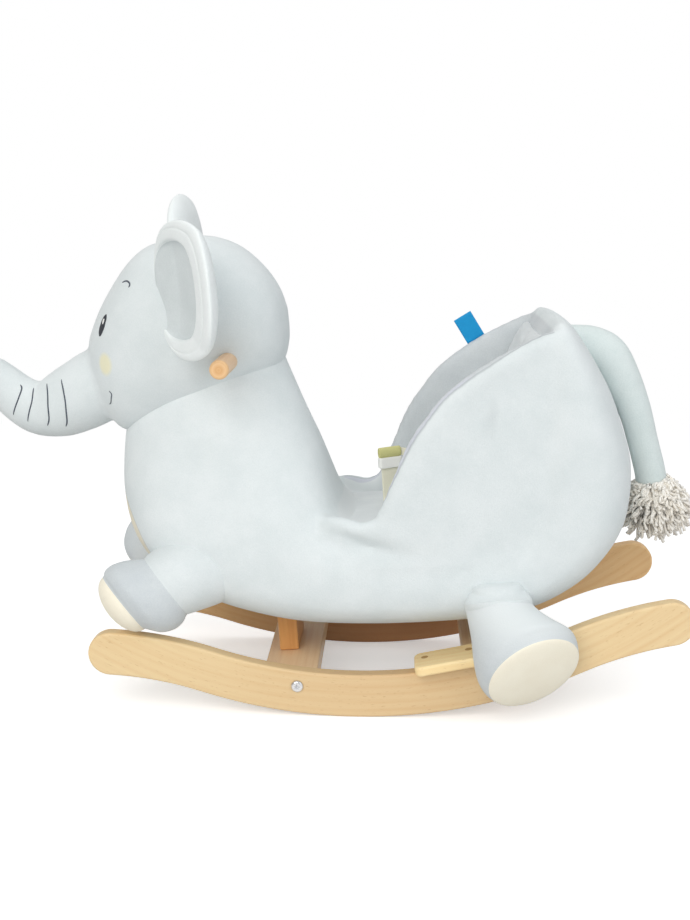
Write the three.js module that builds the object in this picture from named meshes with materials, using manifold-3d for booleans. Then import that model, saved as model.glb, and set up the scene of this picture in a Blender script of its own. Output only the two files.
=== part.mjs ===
// Rocking elephant for a toddler: a stuffed elephant with a bucket seat, on a beech rocker frame.
// Lengths are millimetres. The part is drawn level, on the middle of its rockers, with +X towards the
// tail, +Y towards the elephant's right and +Z up. One group at the end turns it into its rest pose,
// a little nose down, on one flat of the rockers' underside.
import * as THREE from "three";
import { mergeVertices } from "three/addons/utils/BufferGeometryUtils.js";
import Module from "manifold-3d";

const wasm = await Module();
wasm.setup();

// Driving dimensions of the rocker frame
const ROCKER_RADIUS = 560; // underside arc
const ROCKER_FLAT_DEG = 2.7; // arc angle of one flat
const ROCKER_FLATS = 8; // flats from the middle to where the end turns up
const ROCKER_RETURN_RADIUS = 410; // centreline of the turned-up ends
const ROCKER_RETURN_DEG = 15;
const ROCKER_HEIGHT = 48;
const ROCKER_THICKNESS = 18;
const ROCKER_SPACING = 230; // centre to centre
const REST_FLATS = 1.5; // flats from the middle to the middle of the flat that it rests on

const STRETCHER_OFFSET = 110; // from the rockers' middle
const STRETCHER_WIDTH = 60;
const STRETCHER_THICKNESS = 18;
const STRETCHER_BASE = 32; // height of its underside
const POST_OFFSET = 116;
const POST_THICKNESS = 22;
const POST_WIDTH = 76;
const SEAT_BOARD_BASE = 150;
const BOARD_THICKNESS = 12;

// Driving dimensions of the stuffed elephant
const BODY_LENGTH = 560;
const BODY_HEIGHT = 328;
const BODY_WIDTH = 250;
const BODY_BASE = 84; // height of the belly's underside
const HEAD_LENGTH = 225;
const HEAD_HEIGHT = 212;
const HEAD_WIDTH = 176;
const HEAD_OVERHANG = 80.8; // how far the face stands out past the top of the neck
const HEAD_SINK = 101; // how far the chin hangs below the top of the neck
const SEAT_PAD_RISE = 12; // of the seat cushion's top above the body under it

// Fits
const SLIP = 0.3; // gap that touching pieces keep
const OVERRUN = 4; // how far a cutter passes what it cuts
const WELD = 1e-4; // corners nearer than this are one

const DEG = Math.PI / 180;
const ROUND_SIDES = 16;
const BODY_SIDES = 28;
const LIMB_SIDES = 18;

const REST_TILT = REST_FLATS * ROCKER_FLAT_DEG * DEG;
const ROCKER_OUTER = ROCKER_SPACING / 2 + ROCKER_THICKNESS / 2;
const ROCKER_INNER = ROCKER_SPACING / 2 - ROCKER_THICKNESS / 2;
const STRETCHER_TOP = STRETCHER_BASE + STRETCHER_THICKNESS;
const SEAT_BOARD_TOP = SEAT_BOARD_BASE + BOARD_THICKNESS;

// Finishes
const finishes = {
  beech: { color: 0xe8cb97, roughness: 0.55, metalness: 0 },
  plush: { color: 0xdde5e4, roughness: 0.95, metalness: 0 },
  liner: { color: 0xb9bfc2, roughness: 0.95, metalness: 0 },
  paw: { color: 0xced3d7, roughness: 0.95, metalness: 0 },
  sole: { color: 0xebe3ce, roughness: 0.95, metalness: 0 },
  yarn: { color: 0xbcb4a9, roughness: 1, metalness: 0 },
  webbing: { color: 0xdad9b4, roughness: 0.9, metalness: 0 },
  tag: { color: 0x1497cc, roughness: 0.8, metalness: 0 },
  plastic: { color: 0xf2f2ee, roughness: 0.4, metalness: 0 },
  steel: { color: 0xc8c9cc, roughness: 0.3, metalness: 1 },
};

const elephant = new THREE.Group();

function add(name, finish, geometry) {
  const mesh = new THREE.Mesh(geometry, new THREE.MeshStandardMaterial(finishes[finish]));
  mesh.name = name;
  elephant.add(mesh);
  return mesh;
}

// Solid of a closed geometry, for cutting and joining.
function solidOf(geometry) {
  const bare = geometry.clone();
  bare.deleteAttribute("normal");
  bare.deleteAttribute("uv");
  const merged = mergeVertices(bare, WELD);
  const vertProperties = new Float32Array(merged.attributes.position.array);
  const triVerts = new Uint32Array(merged.index.array);
  const solid = new wasm.Manifold(new wasm.Mesh({ numProp: 3, vertProperties, triVerts }));
  return solid;
}

// Geometry of a solid.
function geometryOf(solid) {
  const mesh = solid.getMesh();
  const geometry = new THREE.BufferGeometry();
  geometry.setAttribute("position", new THREE.BufferAttribute(new Float32Array(mesh.vertProperties), 3));
  geometry.setIndex(new THREE.BufferAttribute(new Uint32Array(mesh.triVerts), 1));
  geometry.computeVertexNormals();
  return geometry;
}

// Geometry less each cutter.
function cut(geometry, ...cutters) {
  let solid = solidOf(geometry);
  for (const cutter of cutters) solid = solid.subtract(solidOf(cutter));
  return geometryOf(solid);
}

// The largest single body of a geometry that a cut has split.
function largest(geometry) {
  const bodies = solidOf(geometry).decompose();
  bodies.sort((a, b) => b.volume() - a.volume());
  return geometryOf(bodies[0]);
}

// Board whose faces lie at the given limits.
function board(x0, x1, y0, y1, z0, z1) {
  const geometry = new THREE.BoxGeometry(x1 - x0, y1 - y0, z1 - z0);
  geometry.translate((x0 + x1) / 2, (y0 + y1) / 2, (z0 + z1) / 2);
  return geometry;
}

// Round bar along Y, from y0 to y1.
function barAlongY(radius, x, z, y0, y1, sides = ROUND_SIDES) {
  const geometry = new THREE.CylinderGeometry(radius, radius, y1 - y0, sides);
  geometry.translate(x, (y0 + y1) / 2, z);
  return geometry;
}

// Round bar along Z, from z0 to z1.
function barAlongZ(radius, x, y, z0, z1, sides = ROUND_SIDES) {
  const geometry = new THREE.CylinderGeometry(radius, radius, z1 - z0, sides);
  geometry.rotateX(90 * DEG);
  geometry.translate(x, y, (z0 + z1) / 2);
  return geometry;
}

// Outline in X and Z, extruded along Y from y0 to y1.
function slab(points, y0, y1) {
  const shape = new THREE.Shape(points);
  const geometry = new THREE.ExtrudeGeometry(shape, { depth: y1 - y0, bevelEnabled: false });
  geometry.rotateX(90 * DEG);
  geometry.translate(0, y1, 0);
  return geometry;
}

// Closed body through rings of points, closed by a fan at each end.
function ringBody(rings) {
  const count = rings[0].length;
  const points = rings.flat();
  const middle = (ring) => ring.reduce((sum, p) => sum.add(p), new THREE.Vector3()).divideScalar(count);
  const first = points.push(middle(rings[0])) - 1;
  const last = points.push(middle(rings[rings.length - 1])) - 1;
  const index = [];
  for (let r = 0; r + 1 < rings.length; r++) {
    for (let i = 0; i < count; i++) {
      const a = r * count + i;
      const b = r * count + ((i + 1) % count);
      index.push(a, b, b + count, a, b + count, a + count);
    }
  }
  for (let i = 0; i < count; i++) {
    const next = (i + 1) % count;
    const end = (rings.length - 1) * count;
    index.push(first, next, i);
    index.push(last, end + i, end + next);
  }
  return facingOut(points, index);
}

// Indexed geometry whose faces point out, whichever way its rings ran.
function facingOut(points, index) {
  let volume = 0;
  for (let i = 0; i < index.length; i += 3) {
    const [a, b, c] = [points[index[i]], points[index[i + 1]], points[index[i + 2]]];
    volume += a.dot(new THREE.Vector3().crossVectors(b, c));
  }
  if (volume < 0) {
    for (let i = 0; i < index.length; i += 3) {
      [index[i], index[i + 1]] = [index[i + 1], index[i]];
    }
  }
  const geometry = new THREE.BufferGeometry().setFromPoints(points);
  geometry.setIndex(index);
  geometry.computeVertexNormals();
  return geometry;
}

// Rounded section: a superellipse on the two half axes u and v round the centre.
function sectionRing(centre, u, v, power, sides) {
  const ring = [];
  for (let i = 0; i < sides; i++) {
    const angle = (i / sides) * 360 * DEG;
    const c = Math.cos(angle);
    const s = Math.sin(angle);
    const p = centre.clone();
    p.addScaledVector(u, Math.sign(c) * Math.abs(c) ** (2 / power));
    p.addScaledVector(v, Math.sign(s) * Math.abs(s) ** (2 / power));
    ring.push(p);
  }
  return ring;
}

// The same geometry on the other side of the middle plane.
function mirrored(geometry) {
  const copy = geometry.index ? geometry.toNonIndexed() : geometry.clone();
  copy.deleteAttribute("normal");
  copy.deleteAttribute("uv");
  copy.scale(1, -1, 1);
  const merged = mergeVertices(copy, WELD);
  const index = merged.index.array;
  for (let i = 0; i < index.length; i += 3) {
    [index[i], index[i + 1]] = [index[i + 1], index[i]];
  }
  merged.computeVertexNormals();
  return merged;
}

// Rockers: a bent beech plank with an arc underneath and upturned round ends.
const rockerMidRadius = ROCKER_RADIUS - ROCKER_HEIGHT / 2;
const arcEnd = ROCKER_FLATS * ROCKER_FLAT_DEG * DEG;
const returnCentre = new THREE.Vector2(
  (rockerMidRadius + ROCKER_RETURN_RADIUS) * Math.sin(arcEnd),
  ROCKER_RADIUS - (rockerMidRadius + ROCKER_RETURN_RADIUS) * Math.cos(arcEnd),
);

// Point of the rocker's outline: along the arc by an angle, at a height across the plank.
function rockerArcPoint(angle, across) {
  const radius = ROCKER_RADIUS - across;
  return new THREE.Vector2(radius * Math.sin(angle), ROCKER_RADIUS - radius * Math.cos(angle));
}

// Point of the upturned end: turned back from the arc's end by an angle, at a height across the plank.
function rockerReturnPoint(turned, across) {
  const angle = arcEnd - turned;
  const radius = ROCKER_RETURN_RADIUS - ROCKER_HEIGHT / 2 + across;
  return new THREE.Vector2(
    returnCentre.x - radius * Math.sin(angle),
    returnCentre.y + radius * Math.cos(angle),
  );
}

const RETURN_STEPS = 3;
const END_STEPS = 8;

// Half of the rocker's outline, from the middle of the underside round the end to the middle of the top.
function rockerHalfOutline() {
  const points = [];
  for (let i = 0; i <= ROCKER_FLATS; i++) points.push(rockerArcPoint(i * ROCKER_FLAT_DEG * DEG, 0));
  const returnEnd = ROCKER_RETURN_DEG * DEG;
  for (let i = 1; i < RETURN_STEPS; i++) points.push(rockerReturnPoint((i / RETURN_STEPS) * returnEnd, 0));
  const low = rockerReturnPoint(returnEnd, 0);
  const high = rockerReturnPoint(returnEnd, ROCKER_HEIGHT);
  const centre = low.clone().add(high).divideScalar(2);
  for (let i = 0; i <= END_STEPS; i++) {
    const turn = (i / END_STEPS) * 180 * DEG;
    points.push(low.clone().rotateAround(centre, turn));
  }
  for (let i = RETURN_STEPS - 1; i > 0; i--) {
    points.push(rockerReturnPoint((i / RETURN_STEPS) * returnEnd, ROCKER_HEIGHT));
  }
  for (let i = ROCKER_FLATS; i >= 0; i--) {
    points.push(rockerArcPoint(i * ROCKER_FLAT_DEG * DEG, ROCKER_HEIGHT));
  }
  return points;
}

function rockerOutline() {
  const half = rockerHalfOutline();
  const other = half.slice(1, -1).map((p) => new THREE.Vector2(-p.x, p.y));
  return [...half, ...other.reverse()];
}

// Connector bolts and barrel nuts that join the rockers to the stretchers
const BOLT_INSET = 9; // from the stretcher's middle, towards the rockers' middle
const BOLT_SHANK_RADIUS = 3;
const BOLT_HEAD_RADIUS = 6.5;
const BOLT_HEAD_HEIGHT = 2.6;
const BOLT_LENGTH = 50; // under the head
const BOLT_RECESS_RADIUS = 2.3;
const BOLT_RECESS_DEPTH = 1.8;
const NUT_RADIUS = 5;
const NUT_LENGTH = 14;
const NUT_SETBACK = 12; // from the bolt's end to the nut's axis
const HEX_SIDES = 6;

const boltZ = STRETCHER_BASE + STRETCHER_THICKNESS / 2;
const nutY = ROCKER_OUTER - BOLT_LENGTH + NUT_SETBACK;
const boltXs = { front: -(STRETCHER_OFFSET - BOLT_INSET), rear: STRETCHER_OFFSET - BOLT_INSET };

// The left side (the camera side in the photograph) has negative Y.
const sides = { left: -1, right: 1 };

function boltOnRight(x) {
  const shank = barAlongY(BOLT_SHANK_RADIUS, x, boltZ, ROCKER_OUTER - BOLT_LENGTH, ROCKER_OUTER + SLIP);
  const headBase = ROCKER_OUTER + SLIP;
  const head = barAlongY(BOLT_HEAD_RADIUS, x, boltZ, headBase - SLIP / 2, headBase + BOLT_HEAD_HEIGHT);
  const recessBase = headBase + BOLT_HEAD_HEIGHT - BOLT_RECESS_DEPTH;
  const recessEnd = headBase + BOLT_HEAD_HEIGHT + OVERRUN;
  const recess = barAlongY(BOLT_RECESS_RADIUS, x, boltZ, recessBase, recessEnd, HEX_SIDES);
  return geometryOf(solidOf(shank).add(solidOf(head)).subtract(solidOf(recess)));
}

function boltHole(x) {
  const radius = BOLT_SHANK_RADIUS + SLIP;
  return barAlongY(radius, x, boltZ, ROCKER_OUTER - BOLT_LENGTH - OVERRUN, ROCKER_OUTER + OVERRUN);
}

for (const [side, sign] of Object.entries(sides)) {
  const onSide = (geometry) => (sign < 0 ? mirrored(geometry) : geometry);
  const plank = slab(rockerOutline(), ROCKER_INNER, ROCKER_OUTER);
  add(`rocker_${side}`, "beech", onSide(cut(plank, boltHole(boltXs.front), boltHole(boltXs.rear))));
  for (const [end, x] of Object.entries(boltXs)) {
    add(`rocker_bolt_${end}_${side}`, "steel", onSide(boltOnRight(x)));
    const nut = barAlongZ(NUT_RADIUS, x, nutY, boltZ - NUT_LENGTH / 2, boltZ + NUT_LENGTH / 2);
    add(`barrel_nut_${end}_${side}`, "steel", onSide(cut(nut, boltHole(x))));
  }
}

// Wood screws: a shank under a countersunk head, along Z, with the head at the low or the high end
const SCREW_RADIUS = 2;
const SCREW_HEAD_RADIUS = 4;
const SCREW_HEAD_HEIGHT = 3;
const SCREW_SIDES = 12;

// The screw's profile turned about its axis, grown by a clearance and lengthened past its head as a cutter.
function screw(x, y, headZ, length, up, grow, past) {
  const neck = SCREW_RADIUS + grow;
  const head = SCREW_HEAD_RADIUS + grow;
  const profile = [
    new THREE.Vector2(0, length + grow),
    new THREE.Vector2(neck, length + grow),
    new THREE.Vector2(neck, SCREW_HEAD_HEIGHT),
    new THREE.Vector2(head, 0),
    ...(past > 0 ? [new THREE.Vector2(head, -past)] : []),
    new THREE.Vector2(0, -past),
  ];
  const geometry = new THREE.LatheGeometry(profile.reverse(), SCREW_SIDES);
  geometry.rotateX((up ? 90 : -90) * DEG);
  geometry.translate(x, y, headZ);
  return geometry;
}

// Body: sections between an outer rail, which runs down the chest, along the belly and up the rump, and
// an inner rail, which runs down the back of the neck, along the seat and up the back rest. Each row
// gives outer X, outer Z, inner X, inner Z and width, as shares of the body's length, height and width, and
// then how square the section is (2 is an ellipse).
const BODY_RAIL_SHARES = [
  [-0.42, 0.976, -0.186, 0.97, 0.42, 2.2],
  [-0.468, 0.841, -0.164, 0.86, 0.5, 2.2],
  [-0.502, 0.726, -0.139, 0.738, 0.58, 2.2],
  [-0.514, 0.61, -0.114, 0.622, 0.68, 2.3],
  [-0.516, 0.506, -0.098, 0.53, 0.78, 2.4],
  [-0.505, 0.399, -0.086, 0.457, 0.87, 2.55],
  [-0.48, 0.305, -0.07, 0.399, 0.93, 2.75],
  [-0.436, 0.213, -0.039, 0.36, 0.965, 3],
  [-0.371, 0.137, -0.002, 0.341, 0.985, 3],
  [-0.291, 0.079, 0.032, 0.329, 1, 3],
  [-0.188, 0.03, 0.064, 0.323, 1, 2.9],
  [-0.062, 0.006, 0.093, 0.32, 1, 2.7],
  [0.068, 0, 0.121, 0.317, 1, 2.7],
  [0.189, 0.009, 0.154, 0.317, 1, 2.8],
  [0.296, 0.043, 0.184, 0.317, 0.995, 2.9],
  [0.382, 0.116, 0.211, 0.326, 0.985, 3],
  [0.439, 0.207, 0.229, 0.348, 0.97, 3],
  [0.475, 0.305, 0.239, 0.384, 0.955, 3],
  [0.489, 0.415, 0.248, 0.439, 0.95, 3],
  [0.491, 0.521, 0.254, 0.512, 0.945, 3],
  [0.477, 0.631, 0.264, 0.616, 0.94, 3],
  [0.457, 0.741, 0.279, 0.716, 0.935, 3],
  [0.432, 0.832, 0.295, 0.805, 0.925, 3.2],
  [0.407, 0.912, 0.309, 0.881, 0.91, 3.2],
  [0.384, 0.97, 0.321, 0.945, 0.88, 3.2],
  [0.364, 0.997, 0.336, 0.988, 0.84, 3.2],
];

// Places on the body's rails
const railPlace = (row, x, z) => ({
  x: BODY_RAIL_SHARES[row][x] * BODY_LENGTH,
  z: BODY_BASE + BODY_RAIL_SHARES[row][z] * BODY_HEIGHT,
});
const outerPlace = (row) => railPlace(row, 0, 1);
const innerPlace = (row) => railPlace(row, 2, 3);
const NECK_TOP_ROW = 0;
const SEAT_FRONT_ROW = 6;
const SEAT_MIDDLE_ROW = 12;
const SEAT_REAR_ROW = 18;
const TAIL_ROW = 23;
const seatTop = innerPlace(SEAT_MIDDLE_ROW).z + SEAT_PAD_RISE;
const headFront = outerPlace(NECK_TOP_ROW).x - HEAD_OVERHANG;
const headBase = BODY_BASE + BODY_HEIGHT - HEAD_SINK;

// Boards and posts: two posts on the stretchers carry the seat board, and that the neck and back boards.
const POST_SCREW_LENGTH = 50;
const SEAT_SCREW_LENGTH = 40;
const SEAT_BOARD_FRONT_INSET = 80; // from the body's ends
const SEAT_BOARD_REAR_INSET = 90;
const SEAT_BOARD_WIDTH = 150;

const seatBoardFront = -BODY_LENGTH / 2 + SEAT_BOARD_FRONT_INSET;
const seatBoardRear = BODY_LENGTH / 2 - SEAT_BOARD_REAR_INSET;
const postXs = { front: -POST_OFFSET, rear: POST_OFFSET };

// Stretcher between the rockers, with its bolt holes, its nut pockets and the post screw's hole.
function stretcher(end) {
  const middle = Math.sign(postXs[end]) * STRETCHER_OFFSET;
  const reach = ROCKER_INNER - SLIP;
  const half = STRETCHER_WIDTH / 2;
  const plank = board(middle - half, middle + half, -reach, reach, STRETCHER_BASE, STRETCHER_TOP);
  const pocket = barAlongZ(NUT_RADIUS + SLIP, boltXs[end], nutY, boltZ - NUT_LENGTH / 2 - OVERRUN,
    boltZ + NUT_LENGTH / 2 + SLIP);
  const hole = boltHole(boltXs[end]);
  return cut(plank, pocket, hole, mirrored(pocket), mirrored(hole), postScrew(end, SLIP, OVERRUN));
}

function postScrew(end, grow, past) {
  return screw(postXs[end], 0, STRETCHER_BASE, POST_SCREW_LENGTH, true, grow, past);
}

function seatScrew(end, grow, past) {
  return screw(postXs[end], 0, SEAT_BOARD_TOP, SEAT_SCREW_LENGTH, false, grow, past);
}

function post(end) {
  const half = POST_THICKNESS / 2;
  const width = POST_WIDTH / 2;
  const plank = board(postXs[end] - half, postXs[end] + half, -width, width,
    STRETCHER_TOP + SLIP, SEAT_BOARD_BASE - SLIP);
  return cut(plank, postScrew(end, SLIP, OVERRUN), seatScrew(end, SLIP, OVERRUN));
}

for (const end of Object.keys(postXs)) {
  add(`${end}_stretcher`, "beech", stretcher(end));
  add(`${end}_post`, "beech", post(end));
  add(`${end}_post_screw`, "steel", postScrew(end, 0, 0));
  add(`${end}_seat_screw`, "steel", seatScrew(end, 0, 0));
}

// Neck board, on edge in the middle plane, which holds the handle dowel
const HANDLE_INSET = 47.8; // from the back of the neck, at its top
const HANDLE_DROP = 22; // below the top of the neck
const HANDLE_RADIUS = 10;
const HANDLE_LENGTH = 280;
const HANDLE_CHAMFER = 2;
const HANDLE_SIDES = 24;
const NECK_BOARD_THICKNESS = 20;
const NECK_BOARD_FOOT = 90; // length of its foot on the seat board
const NECK_BOARD_HEAD = 56; // width round the handle
const NECK_FOOT_SET_BACK = 2; // of its foot's middle, from the handle
const NECK_SCREW_LENGTH = 45;

const handleX = innerPlace(NECK_TOP_ROW).x - HANDLE_INSET;
const handleZ = BODY_BASE + BODY_HEIGHT - HANDLE_DROP;
const neckFootX = handleX + NECK_FOOT_SET_BACK;
const neckTop = handleZ + NECK_BOARD_HEAD / 2;
const neckFoot = SEAT_BOARD_TOP + SLIP;

function neckBoardOutline(grow) {
  const foot = NECK_BOARD_FOOT / 2 + grow;
  const head = NECK_BOARD_HEAD / 2 + grow;
  return [
    new THREE.Vector2(neckFootX - foot, neckFoot - grow),
    new THREE.Vector2(neckFootX + foot, neckFoot - grow),
    new THREE.Vector2(handleX + head, handleZ - head),
    new THREE.Vector2(handleX + head, neckTop + grow),
    new THREE.Vector2(handleX - head, neckTop + grow),
    new THREE.Vector2(handleX - head, handleZ - head),
  ];
}

function neckBoard(grow) {
  const half = NECK_BOARD_THICKNESS / 2 + grow;
  return slab(neckBoardOutline(grow), -half, half);
}

function neckScrew(grow, past) {
  return screw(neckFootX, 0, SEAT_BOARD_BASE, NECK_SCREW_LENGTH, true, grow, past);
}

function handleBar(grow) {
  const half = HANDLE_LENGTH / 2 + grow;
  return barAlongY(HANDLE_RADIUS + grow, handleX, handleZ, -half, half, HANDLE_SIDES);
}

// Dowel with chamfered ends, turned about its axis.
function handleDowel() {
  const half = HANDLE_LENGTH / 2;
  const profile = [
    new THREE.Vector2(0, -half),
    new THREE.Vector2(HANDLE_RADIUS - HANDLE_CHAMFER, -half),
    new THREE.Vector2(HANDLE_RADIUS, -half + HANDLE_CHAMFER),
    new THREE.Vector2(HANDLE_RADIUS, half - HANDLE_CHAMFER),
    new THREE.Vector2(HANDLE_RADIUS - HANDLE_CHAMFER, half),
    new THREE.Vector2(0, half),
  ];
  const geometry = new THREE.LatheGeometry(profile, HANDLE_SIDES);
  geometry.translate(handleX, 0, handleZ);
  return geometry;
}

add("neck_board", "beech", cut(neckBoard(0), handleBar(SLIP), neckScrew(SLIP, OVERRUN)));
add("neck_screw", "steel", neckScrew(0, 0));
add("handle_dowel", "beech", handleDowel());

// Back board, leaning back from the seat board's rear end
const BACK_BOARD_INSET = 24; // of its front face's foot, from the seat board's end
const BACK_BOARD_LENGTH = 222;
const BACK_BOARD_WIDTH = 150;
const BACK_BOARD_LEAN_DEG = 7;
const BACK_SCREW_LENGTH = 45;
const backBoardFoot = seatBoardRear - BACK_BOARD_INSET;

function backBoard(grow) {
  const half = BACK_BOARD_WIDTH / 2 + grow;
  const geometry = board(-grow, BOARD_THICKNESS + grow, -half, half, -grow, BACK_BOARD_LENGTH + grow);
  geometry.rotateY(BACK_BOARD_LEAN_DEG * DEG);
  const lift = BOARD_THICKNESS * Math.sin(BACK_BOARD_LEAN_DEG * DEG) + SLIP;
  geometry.translate(backBoardFoot, 0, SEAT_BOARD_TOP + lift);
  return geometry;
}

function backScrew(grow, past) {
  const lean = (BACK_SCREW_LENGTH / 2) * Math.sin(BACK_BOARD_LEAN_DEG * DEG);
  const x = backBoardFoot + BOARD_THICKNESS / 2 + lean;
  return screw(x, 0, SEAT_BOARD_BASE, BACK_SCREW_LENGTH, true, grow, past);
}

function seatBoard(grow) {
  const half = SEAT_BOARD_WIDTH / 2 + grow;
  return board(seatBoardFront - grow, seatBoardRear + grow, -half, half,
    SEAT_BOARD_BASE - grow, SEAT_BOARD_TOP + grow);
}

add("back_board", "beech", cut(backBoard(0), backScrew(SLIP, OVERRUN)));
add("back_screw", "steel", backScrew(0, 0));
add("seat_board", "beech", cut(
  seatBoard(0),
  seatScrew("front", SLIP, OVERRUN),
  seatScrew("rear", SLIP, OVERRUN),
  neckScrew(SLIP, OVERRUN),
  backScrew(SLIP, OVERRUN),
));

// Footrests: a rounded plate across each rocker, on the arc of its top
const FOOTREST_START = 27; // X of its front end
const FOOTREST_LENGTH = 85;
const FOOTREST_WIDTH = 46;
const FOOTREST_OUTSET = 3; // its middle, outwards of the rocker's
const FOOTREST_THICKNESS = 11;
const FOOTREST_CORNER = 8;
const FOOTREST_EDGE = 3;
const FOOTREST_SCREW_INSETS = { front: 12, rear: 25 }; // from its ends; the rear one clears the rocker bolt
const FOOTREST_SCREW_INWARDS = 6; // from the plate's middle line, towards the middle of the toy
const FOOTREST_SCREW_LENGTH = 28;

const rockerTopRadius = ROCKER_RADIUS - ROCKER_HEIGHT;
const topHeight = (x) => ROCKER_RADIUS - Math.sqrt(rockerTopRadius ** 2 - x ** 2);
const footrestEnd = FOOTREST_START + FOOTREST_LENGTH;
const footrestTilt = Math.atan2(topHeight(footrestEnd) - topHeight(FOOTREST_START), FOOTREST_LENGTH);

function roundedRectangle(length, width, corner) {
  const shape = new THREE.Shape();
  const x = length / 2;
  const y = width / 2;
  shape.moveTo(-x + corner, -y);
  shape.absarc(x - corner, -y + corner, corner, -90 * DEG, 0, false);
  shape.absarc(x - corner, y - corner, corner, 0, 90 * DEG, false);
  shape.absarc(-x + corner, y - corner, corner, 90 * DEG, 180 * DEG, false);
  shape.absarc(-x + corner, -y + corner, corner, 180 * DEG, 270 * DEG, false);
  return shape;
}

// Puts what is drawn at the middle of the plate's underside into its place on the right rocker.
function ontoFootrest(geometry) {
  geometry.rotateY(-footrestTilt);
  const x = (FOOTREST_START + footrestEnd) / 2;
  const z = (topHeight(FOOTREST_START) + topHeight(footrestEnd)) / 2;
  geometry.translate(x, ROCKER_SPACING / 2 + FOOTREST_OUTSET, z + 2 * SLIP);
  return geometry;
}

function footrestPlate() {
  const flat = FOOTREST_THICKNESS - 2 * FOOTREST_EDGE;
  const outline = roundedRectangle(
    FOOTREST_LENGTH - 2 * FOOTREST_EDGE,
    FOOTREST_WIDTH - 2 * FOOTREST_EDGE,
    FOOTREST_CORNER - FOOTREST_EDGE,
  );
  const geometry = new THREE.ExtrudeGeometry(outline, {
    depth: flat,
    bevelThickness: FOOTREST_EDGE,
    bevelSize: FOOTREST_EDGE,
    bevelSegments: 3,
    curveSegments: 4,
  });
  geometry.translate(0, 0, FOOTREST_EDGE);
  return geometry;
}

function footrestScrew(along, grow, past) {
  const y = -FOOTREST_SCREW_INWARDS;
  return ontoFootrest(screw(along, y, FOOTREST_THICKNESS, FOOTREST_SCREW_LENGTH, false, grow, past));
}

const footrestScrewXs = {
  front: -FOOTREST_LENGTH / 2 + FOOTREST_SCREW_INSETS.front,
  rear: FOOTREST_LENGTH / 2 - FOOTREST_SCREW_INSETS.rear,
};
const footrestOnRight = ontoFootrest(footrestPlate());
for (const [side, sign] of Object.entries(sides)) {
  const onSide = (geometry) => (sign < 0 ? mirrored(geometry) : geometry);
  const holes = Object.values(footrestScrewXs).map((along) => footrestScrew(along, SLIP, OVERRUN));
  add(`footrest_${side}`, "beech", onSide(cut(footrestOnRight, ...holes)));
  const rocker = elephant.getObjectByName(`rocker_${side}`);
  rocker.geometry = cut(rocker.geometry, ...holes.map(onSide));
  for (const [end, along] of Object.entries(footrestScrewXs)) {
    add(`footrest_screw_${end}_${side}`, "steel", onSide(footrestScrew(along, 0, 0)));
  }
}

const CHEST_END_ROW = 6;
const BELLY_END_ROW = 16;

// Moves the first ring square to its own plane, towards the second ring by a distance.
function setBack(rings, distance) {
  const [first, second] = rings;
  const [a, b, c] = [0, 0.25, 0.5].map((share) => first[Math.round(share * first.length)]);
  const normal = new THREE.Vector3().crossVectors(b.clone().sub(a), c.clone().sub(a)).normalize();
  if (second[0].clone().sub(a).dot(normal) < 0) normal.negate();
  for (const p of first) p.addScaledVector(normal, distance);
  return rings;
}

// Rings of the body from one row to another, grown outwards on all sides by a clearance.
function bodyRings(from, to, grow) {
  const rings = [];
  for (let row = from; row <= to; row++) {
    const [outerX, outerZ, innerX, innerZ, width, power] = BODY_RAIL_SHARES[row];
    const outer = new THREE.Vector3(outerX * BODY_LENGTH, 0, BODY_BASE + outerZ * BODY_HEIGHT);
    const inner = new THREE.Vector3(innerX * BODY_LENGTH, 0, BODY_BASE + innerZ * BODY_HEIGHT);
    const centre = outer.clone().add(inner).divideScalar(2);
    const across = outer.clone().sub(centre);
    across.setLength(across.length() + grow);
    const sideways = new THREE.Vector3(0, (width * BODY_WIDTH) / 2 + grow, 0);
    rings.push(sectionRing(centre, across, sideways, power, BODY_SIDES));
  }
  setBack(rings, -grow);
  return setBack(rings.reverse(), -grow).reverse();
}

// One stretch of the body, whose first section is set back from the stretch before it.
function bodyStretch(from, to) {
  const rings = bodyRings(from, to, 0);
  return ringBody(from > 0 ? setBack(rings, SLIP) : rings);
}

const lastRow = BODY_RAIL_SHARES.length - 1;
const bodyGrown = ringBody(bodyRings(0, lastRow, SLIP));
const frameCutters = [
  seatBoard(SLIP),
  neckBoard(SLIP),
  backBoard(SLIP),
  handleBar(SLIP),
  ...Object.keys(postXs).map((end) => {
    const half = POST_THICKNESS / 2 + SLIP;
    const width = POST_WIDTH / 2 + SLIP;
    return board(postXs[end] - half, postXs[end] + half, -width, width, 0, SEAT_BOARD_BASE);
  }),
  neckScrew(SLIP, OVERRUN),
  backScrew(SLIP, OVERRUN),
];

add("chest", "plush", cut(bodyStretch(0, CHEST_END_ROW), ...frameCutters));
add("belly", "plush", cut(bodyStretch(CHEST_END_ROW, BELLY_END_ROW), ...frameCutters));
add("rump", "plush", cut(bodyStretch(BELLY_END_ROW, lastRow), ...frameCutters));

// Side walls of the bucket seat: a padded wall on each side, low where the child's leg comes out. The
// edge is given as shares of the body's length and height, from the neck to the top of the back rest.
const WALL_EDGE_SHARES = [
  [-0.15, 0.27],
  [-0.129, 0.36],
  [-0.105, 0.412],
  [-0.071, 0.418],
  [-0.045, 0.402],
  [-0.014, 0.402],
  [0.004, 0.451],
  [0.029, 0.54],
  [0.061, 0.649],
  [0.093, 0.723],
  [0.129, 0.793],
  [0.164, 0.838],
  [0.198, 0.875],
  [0.232, 0.905],
  [0.268, 0.933],
  [0.304, 0.957],
  [0.336, 0.976],
  [0.361, 0.951],
  [0.379, 0.841],
  [0.38, 0.659],
  [0.38, 0.201],
  [0.366, 0.159],
  [-0.071, 0.159],
];
const WALL_OUTER = 118;
const WALL_THICKNESS = 22;
const WALL_EDGE = 5;
const WALL_EDGE_STEPS = 2;

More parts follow.
